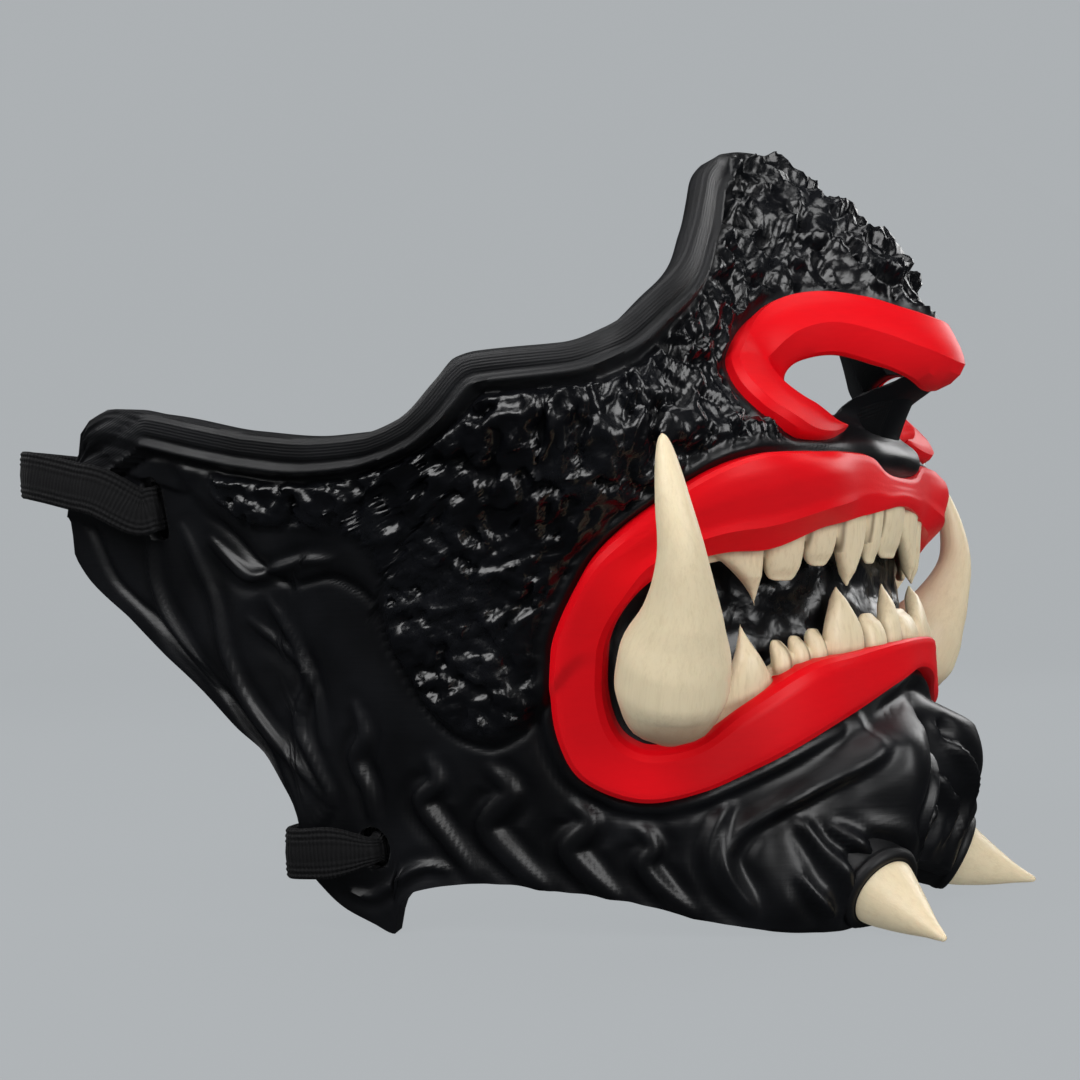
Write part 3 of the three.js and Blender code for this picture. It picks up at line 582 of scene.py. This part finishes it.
# a cutter through the wall; the smaller the bulge, the squarer the hole
def throughHole(s, z, width, height, bulge):
    n, c = normalAt(s, z), skin(s, z)
    side = unit(basePoint(s + 0.01, z) - basePoint(s - 0.01, z))
    up = unit(np.cross(n, side))
    turn = 2 * np.pi * (np.arange(28) + 0.5) / 28
    swell = lambda v: np.sign(v) * np.abs(v) ** bulge
    rim = c + side * (width / 2 * swell(np.cos(turn)))[:, None]
    rim = rim + up * (height / 2 * swell(np.sin(turn)))[:, None]
    reach = shellLook["cutReach"]
    return np.stack([rim - reach * n, rim + reach * n])


def nostril(side):
    aim = unit(np.array(shellLook["nostrilAim"]))
    line = [(-s, z) for s, z in rollInner[1:]] + [(-0.09, 103.4)]
    loop = skin(*along(line, 56, True).T)
    back, ahead = shellLook["nostrilReach"]
    rows = np.stack([loop - back * aim, loop + ahead * aim])
    return rows if side < 0 else rows * (-1, 1, 1)


# the outer and inner sheets in one mesh, joined along their edges
def joinSheets(outer, inner):
    bm = grid(outer)
    count = len(bm.verts)
    hidden = bpy.data.meshes.new("hidden")
    back = grid(inner)
    back.to_mesh(hidden)
    back.free()
    bm.from_mesh(hidden)
    bpy.data.meshes.remove(hidden)
    bm.verts.ensure_lookup_table()
    width = outer.shape[1]
    last = len(bm.verts) - width
    for front, behind in [(0, count), (count - width, last)]:
        for k in range(width - 1):      # the wall's edge, below and above
            bm.faces.new([bm.verts[i] for i in (front + k, front + k + 1, behind + k + 1, behind + k)])
    bmesh.ops.holes_fill(bm, edges=[e for e in bm.edges if e.is_boundary], sides=0)
    bmesh.ops.recalc_face_normals(bm, faces=bm.faces)
    return bm


def cutOpenings(shell):
    earPlace, *earSlot = form["earSlot"]
    jawPlace, *jawHole = form["jawHole"]
    cutters = []
    for side in (-1, 1):
        slot = throughHole(side * earPlace, *earSlot, 0.35)
        hole = throughHole(side * jawPlace, *jawHole, 1)
        for rows in (slot, hole, nostril(side)):
            cutters.append(finishPiece("cutter", body(rows), None))
    for cutter in cutters:
        cut = shell.modifiers.new("cut", "BOOLEAN")
        cut.operation, cut.solver, cut.object = "DIFFERENCE", "EXACT", cutter
    settle(shell)
    for cutter in cutters:
        bpy.data.objects.remove(cutter)


def makeShell(material):
    s = columnPlaces(shellLook["columns"])
    a = np.abs(s)
    v = np.linspace(0, 1, shellLook["rows"] + 1)[:, None]
    z = lowZ(a) + (topZ(a) - lowZ(a)) * (1 - (1 - v) ** shellLook["rowPower"])
    outer, grain, edge = shellSurface(np.broadcast_to(s, z.shape).copy(), z)
    v = np.linspace(0, 1, shellLook["innerRows"])[:, None]
    z = lowZ(a) + (topZ(a) - lowZ(a)) * v
    bm = joinSheets(outer, innerSurface(np.broadcast_to(s, z.shape).copy(), z))
    count = grain.size
    for word, values, rest in (("grain", grain, 0.0), ("edge", edge, 9.0)):
        store = bm.verts.layers.float.new(word)
        for vert in list(bm.verts)[count:]:
            vert[store] = rest
        for vert, value in zip(list(bm.verts)[:count], values.reshape(-1).tolist()):
            vert[store] = value
    shell = finishPiece("maskShell", bm, material, "mask_shell", sharp=shellLook["sharp"])
    cutOpenings(shell)
    return shell


def blackPlastic():
    paint = Paint("blackPlastic", Specular_IOR_Level=0.42, Coat_Roughness=0.18)
    spot = paint.place()
    grain = paint.attribute("grain")
    edge = paint.attribute("edge")
    broad = paint.cloud(spot, 60, 4)
    fine = paint.cloud(spot, 900, 3, 0.6)
    pushed = paint.node("TexNoise", out=1, Vector=spot, Scale=260.0, Detail=2.0)
    bent = paint.node("VectorMath", {"operation": "MULTIPLY_ADD"}, _0=pushed, _1=(0.004, 0.004, 0.004),
                      _2=spot)
    plate = paint.between(paint.cloud(bent, 230, 1, 0.4), 0.4, 0.62)
    worm = paint.between(paint.cloud(bent, 480, 1, 0.4), 0.36, 0.66)
    rim = 1.0 - paint.between(edge, 6.4, 8.0)
    lines = paint.node("Math", {"operation": "SINE"}, _0=edge * 12.0 + broad * 4.0)
    band = 1.0 - paint.between(edge, 3.6, 4.4)
    brushed = paint.cloud(paint.place((70, 70, 1500)), 1.0, 3, 0.6)
    shade = paint.tint(paint.between(broad, 0.35, 0.7), shellLook["black"], shellLook["worn"])
    rough = 0.4 - 0.14 * grain + 0.16 * rim + 0.12 * (broad - 0.5) + 0.06 * (fine - 0.5)
    soft = paint.bump(lines * band * 0.5 + brushed * (1.0 - grain), 0.00005, 0.7)
    return paint.feed(Base_Color=shade, Roughness=rough, Coat_Weight=0.03 + 0.09 * grain,
                      Normal=paint.bump((plate * 0.8 + worm * 0.3) * grain, 0.00055, 0.32, soft))


shell = makeShell(blackPlastic())
print("shell made", len(shell.data.polygons))

# the red lips and nose ring
redLook = {
    "crest": 4.2, "noseLift": 4.2,      # heights, mm
    "slim": 0.36, "slimAt": 0.17,       # the lips are lower beside the middle
    "lipSteps": 420, "noseSteps": 300, "sharp": 24,
    "red": (0.74, 0.001, 0.0062), "deep": (0.5, 0.0006, 0.003),
}


def redPaint():
    paint = Paint("redPaint", Coat_Roughness=0.4, Specular_IOR_Level=0.16, Coat_Weight=0.02)
    spot = paint.place()
    broad = paint.cloud(spot, 38, 3)
    fine = paint.cloud(spot, 1500, 2)
    brushed = paint.cloud(paint.place((1, 1, 5)), 260, 3, 0.6)
    mottle = paint.between(broad * 0.7 + brushed * 0.3, 0.35, 0.75) * 0.3
    shade = paint.tint(mottle, redLook["red"], redLook["deep"])
    return paint.feed(Base_Color=shade, Roughness=0.42 + 0.12 * (broad - 0.5) + 0.06 * (brushed - 0.5),
                      Normal=paint.bump(fine, 0.00003, 0.5, paint.bump(brushed, 0.00004, 0.4)))


# the lip's seat: the face without the start of the nose
def lipSkin(s, z, lift):
    low = z - np.maximum(z - 86, 0) * (1 - ramp(np.abs(s), 0.14, 0.3))
    p = skin(s, low, lift)
    p[..., 2] += z - low
    return p


def makeLips(material):
    outer = along(wholeRing(lipOuter), redLook["lipSteps"], True)
    inner = along(wholeRing(lipInner), redLook["lipSteps"], True)
    slim = 1 - redLook["slim"] * np.exp(-((np.abs(outer[:, 0]) - redLook["slimAt"]) / 0.09) ** 2)
    above = ramp((outer[:, 1] + inner[:, 1]) / 2, 66, 77)
    middle = 1 - ramp(np.abs(outer[:, 0] + inner[:, 0]) / 2, 0.06, 0.3)
    c = redLook["crest"]
    seat = [(1.0, -2.3), (0.86, -2.35), (0.84, -0.5), (0.42, -0.5)]
    # profiles from the outer edge to the inner one: share of the way, height
    upper = [(0, -0.5), (0, 0.42 * c), (0.03, 0.66 * c), (0.13, 0.84 * c), (0.28, 0.95 * c),
             (0.42, 0.93 * c), (0.55, 0.92 * c), (0.66, 1.06 * c), (0.84, 0.7 * c), (0.975, 0.42 * c),
             (1.0, 0.1 * c)] + seat
    lower = [(0, -0.5), (0, 0.42 * c), (0.02, 0.66 * c), (0.12, 0.94 * c), (0.2, 0.99 * c),
             (0.4, 1.0 * c), (0.6, 1.0 * c), (0.8, 0.99 * c), (0.92, 0.84 * c), (0.985, 0.5 * c),
             (1.0, 0.1 * c)] + seat
    front = [(0, -0.5), (0, 0.4 * c), (0.03, 0.66 * c), (0.13, 0.74 * c), (0.28, 0.76 * c),
             (0.42, 0.77 * c), (0.55, 0.8 * c), (0.66, 0.86 * c), (0.84, 0.84 * c), (0.975, 0.76 * c),
             (1.0, 0.62 * c)] + seat
    rings = []
    for (ta, la), (tb, lb), (tc, lc) in zip(densify(upper, 3), densify(lower, 3), densify(front, 3)):
        t = (ta * above + tb * (1 - above))[:, None]
        lift = la * above + lb * (1 - above)
        lift = (lift * (1 - middle) + lc * middle) * np.where(lift > 0, slim, 1)
        mid = outer + (inner - outer) * t
        rings.append(lipSkin(mid[:, 0], mid[:, 1], lift))
    rings = np.stack(rings, 1)
    bm = body(np.concatenate([rings, rings[:1]]))
    finishPiece("lips", bm, material, "lips", sharp=redLook["sharp"])


# short straight steps between the points of a closed outline
def densify(pairs, steps):
    p = np.array(pairs, float)
    q = np.roll(p, -1, axis=0)
    return np.concatenate([[a + (b - a) * k / steps for k in range(steps)] for a, b in zip(p, q)])


def makeNoseRing(material):
    outer = [(-s, z) for s, z in rollOuter[::-1]] + rollOuter[1:]
    inner = [(-s, z) for s, z in rollInner[::-1]] + rollInner[1:]
    count = redLook["noseSteps"]
    outer, inner = along(outer, count), along(inner, count)
    c = redLook["noseLift"]
    under = [(1.0, 0.0), (1.0, -0.5), (0.7, -0.5), (0.3, -0.5)]
    shape = [(0, -0.5), (0.0, 0.4 * c), (0.05, 0.74 * c), (0.3, 0.93 * c), (0.62, 1.0 * c),
             (0.96, 0.2 * c)] + under
    point = [(0, -0.5), (0.0, 0.18 * c), (0.05, 0.28 * c), (0.3, 0.38 * c), (0.62, 0.58 * c),
             (0.96, 0.15 * c)] + under
    tip = 1 - ramp(np.abs(outer[:, 0]), 0.0, 0.12)
    rings = []
    order = np.arange(count)
    taper = ramp(np.minimum(order, count - 1 - order), -6, 30)      # towards both ends
    for (t, side), (_, end) in zip(densify(shape, 3), densify(point, 3)):
        mid = outer + (inner - outer) * (0.3 + (t - 0.3) * taper)[:, None]
        rings.append(skin(mid[:, 0], mid[:, 1], (side + (end - side) * tip) * (0.35 + 0.65 * taper)))
    bm = body(np.stack(rings, 1))
    finishPiece("noseRing", bm, material, "nose_ring", sharp=redLook["sharp"])


red = redPaint()
makeLips(red)
makeNoseRing(red)
print("lips and nose ring made")

# the ivory tusks, horns and teeth
ivoryLook = {
    "bone": (0.79, 0.665, 0.45), "streak": (0.58, 0.45, 0.27),
    # root and gap: colours of painted shade, at the roots of the tusks, horns and teeth and between the
    # teeth
    "root": (0.27, 0.12, 0.065), "gap": (0.12, 0.075, 0.035),
    "tuskRadius": 10.1, "hornRadius": 7.8,
}
tuskPath = [(-67.5, -51.3, 38.2), (-68.2, -52.2, 45), (-71.2, -54.8, 53), (-75.8, -58.8, 61.5),
            (-80.4, -61.3, 71), (-81.8, -60.7, 80.2), (-80.4, -58.6, 91.6)]


def ivory(name, low, high):
    paint = Paint(name, Coat_Roughness=0.35, Specular_IOR_Level=0.4, Coat_Weight=0.06,
                  Subsurface_Weight=0.05, Subsurface_Scale=0.003)
    fibre = paint.attribute("fibre", 1)
    lines = paint.cloud(fibre, 0.9, 5, 0.7)
    broad = paint.cloud(paint.place(), 70, 3)
    fine = paint.cloud(fibre, 3.2, 4, 0.7)
    root = paint.attribute("root")
    streaks = paint.between(lines * 0.6 + fine * 0.4, 0.42, 0.72)
    shade = paint.tint(streaks * 0.42, ivoryLook["bone"], ivoryLook["streak"])
    # painted shade: the tusk or horn turns dark brown towards its root
    rootShade = paint.between(root + 0.22 * (broad - 0.5), low, high) * 0.75
    shade = paint.tint(rootShade, shade, ivoryLook["root"])
    return paint.feed(Base_Color=shade, Roughness=0.42 + 0.16 * (fine - 0.5),
                      Normal=paint.bump(fine, 0.00008, 0.6, paint.bump(lines, 0.00014, 0.5)))


# rings of a round horn along a path, with the place of each and the length
def spike(path, radius, reference, count, rows):
    line = along(path, 400)
    run = np.concatenate([[0], np.cumsum(np.linalg.norm(np.diff(line, axis=0), axis=1))])
    t = np.linspace(0, 1, rows + 1) ** 0.85
    path = np.stack([np.interp(t * run[-1], run, line[:, k]) for k in range(3)], -1)
    direction = unit(np.gradient(path, axis=0))
    side = unit(np.cross(np.broadcast_to(reference, path.shape), direction))
    up = unit(np.cross(direction, side))
    turn = 2 * np.pi * np.arange(count) / count
    r = radius(t)[:, None, None]
    ring = np.cos(turn)[None, :, None] * side[:, None] + np.sin(turn)[None, :, None] * up[:, None]
    return path[:, None] + r * ring, t, run[-1]


# finished tusk or horn, with root shading and coordinates along its fibres stored on the mesh
def spikePiece(name, node, made, side, material):
    rings, t, length = made
    rings = rings * (1 if side < 0 else -1, 1, 1)
    thing = finishPiece(name, body(rings), material, node)
    centres = rings.mean(axis=1)
    places = np.array([v.co for v in thing.data.vertices]) * 1000 - form["shift"]
    near = np.argmin(((places[:, None] - centres[None]) ** 2).sum(-1), axis=1)
    mark = thing.data.attributes.new("root", "FLOAT", "POINT")
    mark.data.foreach_set("value", 1 - t[near])
    fibre = places - centres[near]
    axis = unit(np.gradient(centres, axis=0))[near]
    fibre = fibre - axis * (fibre * axis).sum(-1, keepdims=True) + axis * (0.09 * length * t[near])[:, None]
    mark = thing.data.attributes.new("fibre", "FLOAT_VECTOR", "POINT")
    mark.data.foreach_set("vector", fibre.reshape(-1))


def makeTusks(material):
    radius = curve([(0, 1.4), (0.012, 3.8), (0.04, 6.6), (0.1, 8.6), (0.2, ivoryLook["tuskRadius"]),
                    (0.29, 9.8), (0.41, 7.6), (0.54, 5.4), (0.67, 3.9), (0.8, 2.95), (0.9, 2.1),
                    (0.96, 1.35), (0.99, 0.7), (1, 0.15)])
    made = spike(tuskPath, radius, (0, -1, 0), 64, 100)
    for side, word in ((-1, "right"), (1, "left")):
        spikePiece("tusk" + word.title(), "tusk_" + word, made, side, material)


# sleeve's profile: place along the horn's axis, radius
collarShape = [(-7, 7), (-7, 10.6), (-3, 9.9), (0, 9.3), (1.8, 8.9), (2.8, 9.2), (3.8, 8.9), (4.3, 8.2),
               (4.2, 7.4), (3.2, 6.8)]


# the smooth black collars that hold the horns
def makeCollars(material):
    axis = unit(hornLean - hornRoot)
    side = unit(np.cross(axis, (0, 0, 1.0)))
    over = np.cross(side, axis)
    turn = 2 * np.pi * np.arange(72)[:, None, None] / 72
    ring = np.cos(turn) * side + np.sin(turn) * over
    cross = along(collarShape, 60, True)[None]
    rows = hornRoot + axis * cross[..., :1] + ring * cross[..., 1:]
    rows = np.concatenate([rows, rows[:1]])
    for half in (-1, 1):
        finishPiece("collar", body(rows * (-half, 1, 1)), material, "mask_shell")


def makeHorns(material):
    radius = curve([(0, ivoryLook["hornRadius"]), (0.2, 7), (0.4, 5.4), (0.6, 3.65), (0.8, 1.9),
                    (0.95, 0.85), (0.99, 0.5), (1, 0.15)])
    bow = [hornRoot * (1 - t) ** 2 + 2 * t * (1 - t) * hornLean + t * t * hornTip
           for t in np.linspace(0, 1, 9)]
    made = spike(bow, radius, (0, 0, 1), 56, 56)
    for side, word in ((-1, "right"), (1, "left")):
        spikePiece("chinHorn" + word.title(), "chin_horn_" + word, made, side, material)


makeTusks(ivory("tuskIvory", 0.8, 0.99))
makeHorns(ivory("hornIvory", 0.86, 1.12))
makeCollars(shell.data.materials[0])

toothLook = {
    "push": 3.3,        # how far the front ones stand forward
    "seat": 3.1, "root": 2.2, "gumSeat": 3.6, "gumHigh": 2.4, "gumThick": 1.3,
    "fangThick": 2.9, "thick": 2.1,
    "voxel": 0.00028,
}
# each tooth: outer and inner border along the lip, its tip's place and height, and how blunt it is:
# 0 is a fang, 0.03 a pointed tooth
upperTeeth = [(0.498, 0.363, 0.374, 61.5, 0), (0.363, 0.27, 0.318, 66.5, 0.4),
              (0.27, 0.19, 0.226, 69.4, 0.3)]
lowerTeeth = [(0.475, 0.353, 0.404, 58.9, 0), (0.353, 0.315, 0.34, 55.6, 0.3),
              (0.315, 0.277, 0.3, 56.3, 0.3), (0.277, 0.24, 0.25, 57.5, 0.45)]
# the front ones, uneven as carved, from right to left
upperFront = [(0.19, 0.108, 0.161, 65.4, 0.03), (0.108, 0.055, 0.085, 69.8, 0.35),
              (0.055, -0.03, 0.008, 71, 0.45), (-0.03, -0.11, -0.095, 66.4, 0.03),
              (-0.11, -0.19, -0.15, 65.8, 0.03)]
lowerFront = [(0.24, 0.15, 0.188, 65.4, 0.03), (0.15, 0.097, 0.12, 60, 0.4),
              (0.097, 0.05, 0.05, 66, 0.03), (0.05, -0.015, 0.01, 60.6, 0.4),
              (-0.015, -0.09, -0.08, 65.4, 0.03), (-0.09, -0.16, -0.13, 60.5, 0.4),
              (-0.16, -0.24, -0.2, 65.4, 0.03)]


def lipEdge(s, side):
    half = np.array(lipInner)
    branch = half[:10] if side > 0 else half[:10:-1]
    return np.interp(np.abs(s), branch[:, 0], branch[:, 1])


def frontPush(s):
    return toothLook["push"] * (1 - ramp(np.abs(s), 0.06, 0.3))


# rings from the gum to the tip; half is -1 on the right and 1 on the left
def toothRings(tooth, side, half):
    outer, inner, tip, tipZ, blunt = tooth
    r = np.linspace(0, 1, 30)[:, None]
    if blunt == 0:
        left = outer + (tip - outer) * (1 - (1 - r) ** 1.55)
        right = inner + (tip - inner) * (r ** 1.15)
    elif blunt < 0.1:
        taper = (1 - blunt) * (0.12 * r + 0.88 * ramp(r, 0.3, 1.25) / ramp(1.0, 0.3, 1.25))
        left, right = outer + (tip - outer) * taper, inner + (tip - inner) * taper
    else:
        close = (1 - blunt) * (1 - np.sqrt(1 - r ** 3.2))
        left, right = outer + (tip - outer) * close, inner + (tip - inner) * close
    turn = 2 * np.pi * np.arange(26)[None] / 26
    across = np.sign(np.cos(turn)) * np.abs(np.cos(turn)) ** 0.8
    deep = np.sign(np.sin(turn)) * np.abs(np.sin(turn)) ** 0.8
    s = (left + right) / 2 + (left - right) / 2 * across * 0.985
    z = (lipEdge(s, side) + side * toothLook["root"]) * (1 - r) + tipZ * r
    wide = (left - right) / 2 * np.linalg.norm(basePoint(tip + 0.01, 60) - basePoint(tip - 0.01, 60)) / 0.02
    full = toothLook["fangThick"] if blunt == 0 else toothLook["thick"]
    thick = np.minimum(full * (1 - 0.45 * r ** 2), wide * 0.95 + 0.05)
    thick = thick * np.where(blunt > 0.1, 1 - 0.5 * ramp(r, 0.75, 1), 1)
    push = frontPush(s) + (1.2 if blunt == 0 and side < 0 else 0)
    belly = 0.7 * np.sin(np.pi * np.minimum(r * 1.1, 1))
    return skin(s * half, z, -toothLook["seat"] + push + belly + thick * deep)


# one row fused from its gum and teeth, with its root and gap shading stored on the mesh
def makeTeeth(name, node, teeth, front, side, material):
    made = bmesh.new()
    store = bpy.data.meshes.new("tooth")
    ends = np.linspace(-teeth[0][0], teeth[0][0], 90)
    gum = lipEdge(ends, side) - side * 0.1
    turn = 2 * np.pi * np.arange(14) / 14
    centre = skin(ends, gum, -toothLook["gumSeat"] + frontPush(ends))
    parts = [centre[:, None] + (np.cos(turn)[None, :, None] * np.array([0, 0, toothLook["gumHigh"]])
                                + np.sin(turn)[None, :, None] * normalAt(ends, gum)[:, None]
                                * toothLook["gumThick"])]
    parts += [toothRings(tooth, side, half) for tooth in teeth for half in (-1, 1)]
    parts += [toothRings(tooth, side, -1) for tooth in front]
    for rings in parts:
        piece = body(rings)
        piece.to_mesh(store)
        piece.free()
        made.from_mesh(store)
    bpy.data.meshes.remove(store)
    thing = finishPiece(name, made, material, node)
    fused = thing.modifiers.new("fused", "REMESH")
    fused.mode, fused.voxel_size = "VOXEL", toothLook["voxel"]
    soft = thing.modifiers.new("soft", "SMOOTH")
    soft.factor, soft.iterations = 0.5, 2
    settle(thing)
    for face in thing.data.polygons:
        face.use_smooth = True
    if not thing.data.materials:
        thing.data.materials.append(material)
    places = np.array([v.co for v in thing.data.vertices]) * 1000 - form["shift"]
    s = np.linspace(0, 0.6, 80)
    a = np.interp(np.abs(places[:, 0]), basePoint(s, 60)[:, 0], s)
    high = side * (lipEdge(a, side) - places[:, 2])
    # root marks where the painted shade near the gum goes, gap where the painted shade between the teeth
    # goes
    mark = thing.data.attributes.new("root", "FLOAT", "POINT")
    mark.data.foreach_set("value", 1 - np.clip(high / 8, 0, 1))
    edges = np.array([half * t[1] for t in teeth for half in (-1, 1)] + [t[1] for t in front])
    wide = np.interp(a, s, np.gradient(basePoint(s, 60)[:, 0], s))
    gap = np.abs((-np.sign(places[:, 0]) * a)[:, None] - edges[None]).min(axis=1) * np.maximum(wide, 60)
    mark = thing.data.attributes.new("gap", "FLOAT", "POINT")
    mark.data.foreach_set("value", np.exp(-(gap / 0.38) ** 2) * (high < 6))


def toothIvory():
    paint = Paint("toothIvory", Coat_Roughness=0.3, Specular_IOR_Level=0.42, Coat_Weight=0.1,
                  Subsurface_Weight=0.05, Subsurface_Scale=0.002)
    broad = paint.cloud(paint.place(), 160, 3)
    lines = paint.cloud(paint.place((6, 6, 1)), 240, 3, 0.6)
    root, gap = paint.attribute("root"), paint.attribute("gap")
    shade = paint.tint(paint.between(lines, 0.45, 0.7) * 0.4, ivoryLook["bone"], ivoryLook["streak"])
    # painted shade: darker brown near the gum under the lip, and dark brown between the teeth
    shade = paint.tint(paint.between(root + 0.3 * (broad - 0.5), 0.84, 1.1) * 0.7, shade, ivoryLook["root"])
    shade = paint.tint(gap * 0.75, shade, ivoryLook["gap"])
    return paint.feed(Base_Color=shade, Roughness=0.4 + 0.12 * (broad - 0.5),
                      Normal=paint.bump(lines, 0.0001, 0.6))


toothPaint = toothIvory()
makeTeeth("upperTeeth", "upper_teeth", upperTeeth, upperFront, 1, toothPaint)
makeTeeth("lowerTeeth", "lower_teeth", lowerTeeth, lowerFront, -1, toothPaint)
print("tusks, horns and teeth made")

# the elastic straps
strapLook = {
    "width": 10, "thick": 1.6, "ribs": 9, "ribHigh": 0.11,
    # in the opening: width and thickness there, and the width of the folded, sewn end
    "upper": (9.2, 1.4, 14.4), "lower": (5.4, 3.2, 12),
    "black": (0.0018, 0.0018, 0.0022), "worn": (0.0055, 0.0055, 0.0062),
}


# centre line, width and thickness: sewn end inside the wall, through it and round the back
def strapRoute(opening, squeezed, turns):
    s, z = opening[:2]
    narrow, thick, stop = squeezed
    c, out = skin(-s, z), normalAt(-s, z)
    back = unit(basePoint(-s - 0.01, z) - basePoint(-s + 0.01, z))
    at = lambda lift, run: c + out * lift + back * run
    w, t, wall = strapLook["width"], strapLook["thick"], form["wall"]
    route = [(at(-wall - 3.4, 7), stop, t), (at(-wall - 3.4, -4), stop, t),
             (at(-wall - 2.2, -6.4), stop, t), (at(-wall - 0.9, -4), w, t),
             (at(-wall - 0.7, -1.6), w, thick), (at(-1, -0.5), narrow, thick),
             (at(0.8, -0.2), narrow, thick), (at(2.1, 3), (narrow + w) / 2, (thick + t) / 2)]
    route += [(np.array([-x, y, h], float), w, t) for x, y, h in turns]
    mirror = [(p * (-1, 1, 1), w, t) for p, w, t in route[::-1]]
    return route + mirror


def makeStrap(name, node, route, material):
    count = 12 * len(route)
    path = along([p for p, _, _ in route], count)
    wide = along([(w, t) for _, w, t in route], count)
    direction = unit(np.gradient(path, axis=0))
    up = np.array([0, 0, 1.0]) - direction * direction[:, 2:3]
    up = unit(up)
    out = unit(np.cross(direction, up))
    turn = 2 * np.pi * np.arange(112) / 112
    x = np.sign(np.cos(turn)) * np.abs(np.cos(turn)) ** 0.45
    y = np.sign(np.sin(turn)) * np.abs(np.sin(turn)) ** 0.7
    rib = strapLook["ribHigh"] * np.cos(2 * np.pi * strapLook["ribs"] * x / 2) * np.sign(y)
    across = wide[:, :1] / 2 * x[None]
    deep = (wide[:, 1:] / 2 - 0.1) * y[None] + rib[None] * (np.abs(y) > 0.5)
    rings = path[:, None] + across[..., None] * up[:, None] + deep[..., None] * out[:, None]
    finishPiece(name, body(rings, uv=True), material, node)


def elastic():
    paint = Paint("elastic", Sheen_Weight=0.01, Sheen_Roughness=0.5, Specular_IOR_Level=0.16)
    cross = paint.node("TexWave", {"bands_direction": "Y", "wave_type": "BANDS"},
                       Vector=paint.place((1, 1, 1), "UV"), Scale=34.0, Distortion=1.2, Detail=1.0)
    fuzz = paint.cloud(paint.place(), 1800, 3, 0.7)
    shade = paint.tint(cross * 0.6 + 0.3 * fuzz, strapLook["black"], strapLook["worn"])
    return paint.feed(Base_Color=shade, Roughness=0.75 + 0.2 * (fuzz - 0.5),
                      Normal=paint.bump(cross * 0.6 + fuzz * 0.4, 0.00018, 0.8))


woven = elastic()
upperTurns = [(86.8, 66, 90), (87.2, 73, 91.8), (87.4, 80, 93.6), (87.2, 85.4, 94.8), (84.4, 90, 95.4),
              (78, 92.2, 95.8), (60, 92.8, 95.8), (20, 93, 95.8)]
lowerTurns = [(70.4, 22, 16.6), (70.8, 28, 16.2), (69.8, 32.4, 16), (66.2, 34.8, 16), (58, 35.6, 16),
              (20, 35.8, 16)]
upperRoute = strapRoute(form["earSlot"], strapLook["upper"], upperTurns)
lowerRoute = strapRoute(form["jawHole"], strapLook["lower"], lowerTurns)
makeStrap("upperStrap", "upper_strap", upperRoute, woven)
makeStrap("lowerStrap", "lower_strap", lowerRoute, woven)
print("straps made")

# floor, backdrop and lights
studio = {
    "grey": (0.412, 0.434, 0.45), "glow": 1.0, "world": 0.07,
    "floor": (0.022, 0.023, 0.024), "floorDark": (0.019, 0.02, 0.021),
    # in metres: the floor's front and its curve up at the back, and the round wall
    "ahead": 3.3, "back": 1.6, "rise": 1.4, "halfWidth": 4.5, "top": 4.0,
    "wallRadius": 3.1, "wallHeight": 6,
}


def backdropPaint():
    paint = Paint("backdrop", Specular_IOR_Level=0.0, Emission_Strength=studio["glow"])
    tone = paint.cloud(paint.place(), 3, 2)
    dark = tuple(0.97 * c for c in studio["grey"])
    shade = paint.tint(tone * 0.3, studio["grey"], dark)
    return paint.feed(Base_Color=paint.tint(tone * 0.1, studio["floor"], studio["floorDark"]),
                      Emission_Color=shade, Roughness=0.9)


def makeFloor(material):
    aim = -np.array(camera["back"])
    aim = unit(np.array([aim[0], aim[1], 0.0]))
    side = np.array([-aim[1], aim[0], 0.0])
    back, rise, half = studio["back"], studio["rise"], studio["halfWidth"]
    line = [(-studio["ahead"], 0.0)]
    line += [(back + rise * np.sin(a), rise * (1 - np.cos(a))) for a in np.linspace(0, np.pi / 2, 24)]
    line.append((back + rise, studio["top"]))
    rows = np.array([[aim * d + np.array([0, 0, h]) + side * w for w in (-half, half)] for d, h in line])
    floor = finishPiece("floor", grid(rows * 1000 - form["shift"]), material)
    floor.visible_glossy = False


# plain wall all round, for the views from behind, which lights nothing
def makeWall(material):
    turn = np.linspace(0, 2 * np.pi, 49)
    far = studio["wallRadius"]
    rows = np.array([[(far * np.cos(a), far * np.sin(a), h) for a in turn]
                     for h in (-0.01, studio["wallHeight"])])
    wall = finishPiece("wall", grid(rows * 1000 - form["shift"]), material)
    wall.visible_glossy = wall.visible_diffuse = wall.visible_shadow = False


def light(name, place, aim, size, power, shade=(1, 1, 1)):
    lamp = bpy.data.lights.new(name, "AREA")
    lamp.shape, lamp.size, lamp.size_y = "RECTANGLE", size[0], size[1]
    lamp.energy, lamp.color = power, shade
    made = bpy.data.objects.new(name, lamp)
    bpy.context.scene.collection.objects.link(made)
    made.location = place
    made.rotation_euler = (Vector(aim) - Vector(place)).to_track_quat("-Z", "Y").to_euler()


backdrop = backdropPaint()
makeFloor(backdrop)
makeWall(backdrop)
light("key", (-0.85, 0.1, 0.75), (0, -0.02, 0.07), (0.8, 0.6), 9.5)
light("front", (-0.4, -0.95, 0.4), (0, -0.02, 0.08), (0.45, 0.7), 6)
light("top", (0.0, -0.15, 1.1), (0, 0, 0.08), (0.8, 0.4), 2.6)
light("far", (0.8, -0.35, 0.5), (0, -0.03, 0.08), (0.5, 0.5), 3.4)
light("behind", (-0.1, 0.95, 0.6), (-0.05, 0.0, 0.08), (0.6, 0.35), 2.5)
world = bpy.data.worlds.new("studio")
bpy.context.scene.world = world
world.use_nodes = True
sky = world.node_tree.nodes["Background"]
sky.inputs[0].default_value = (*studio["grey"], 1)
sky.inputs[1].default_value = studio["world"]
print("studio made")
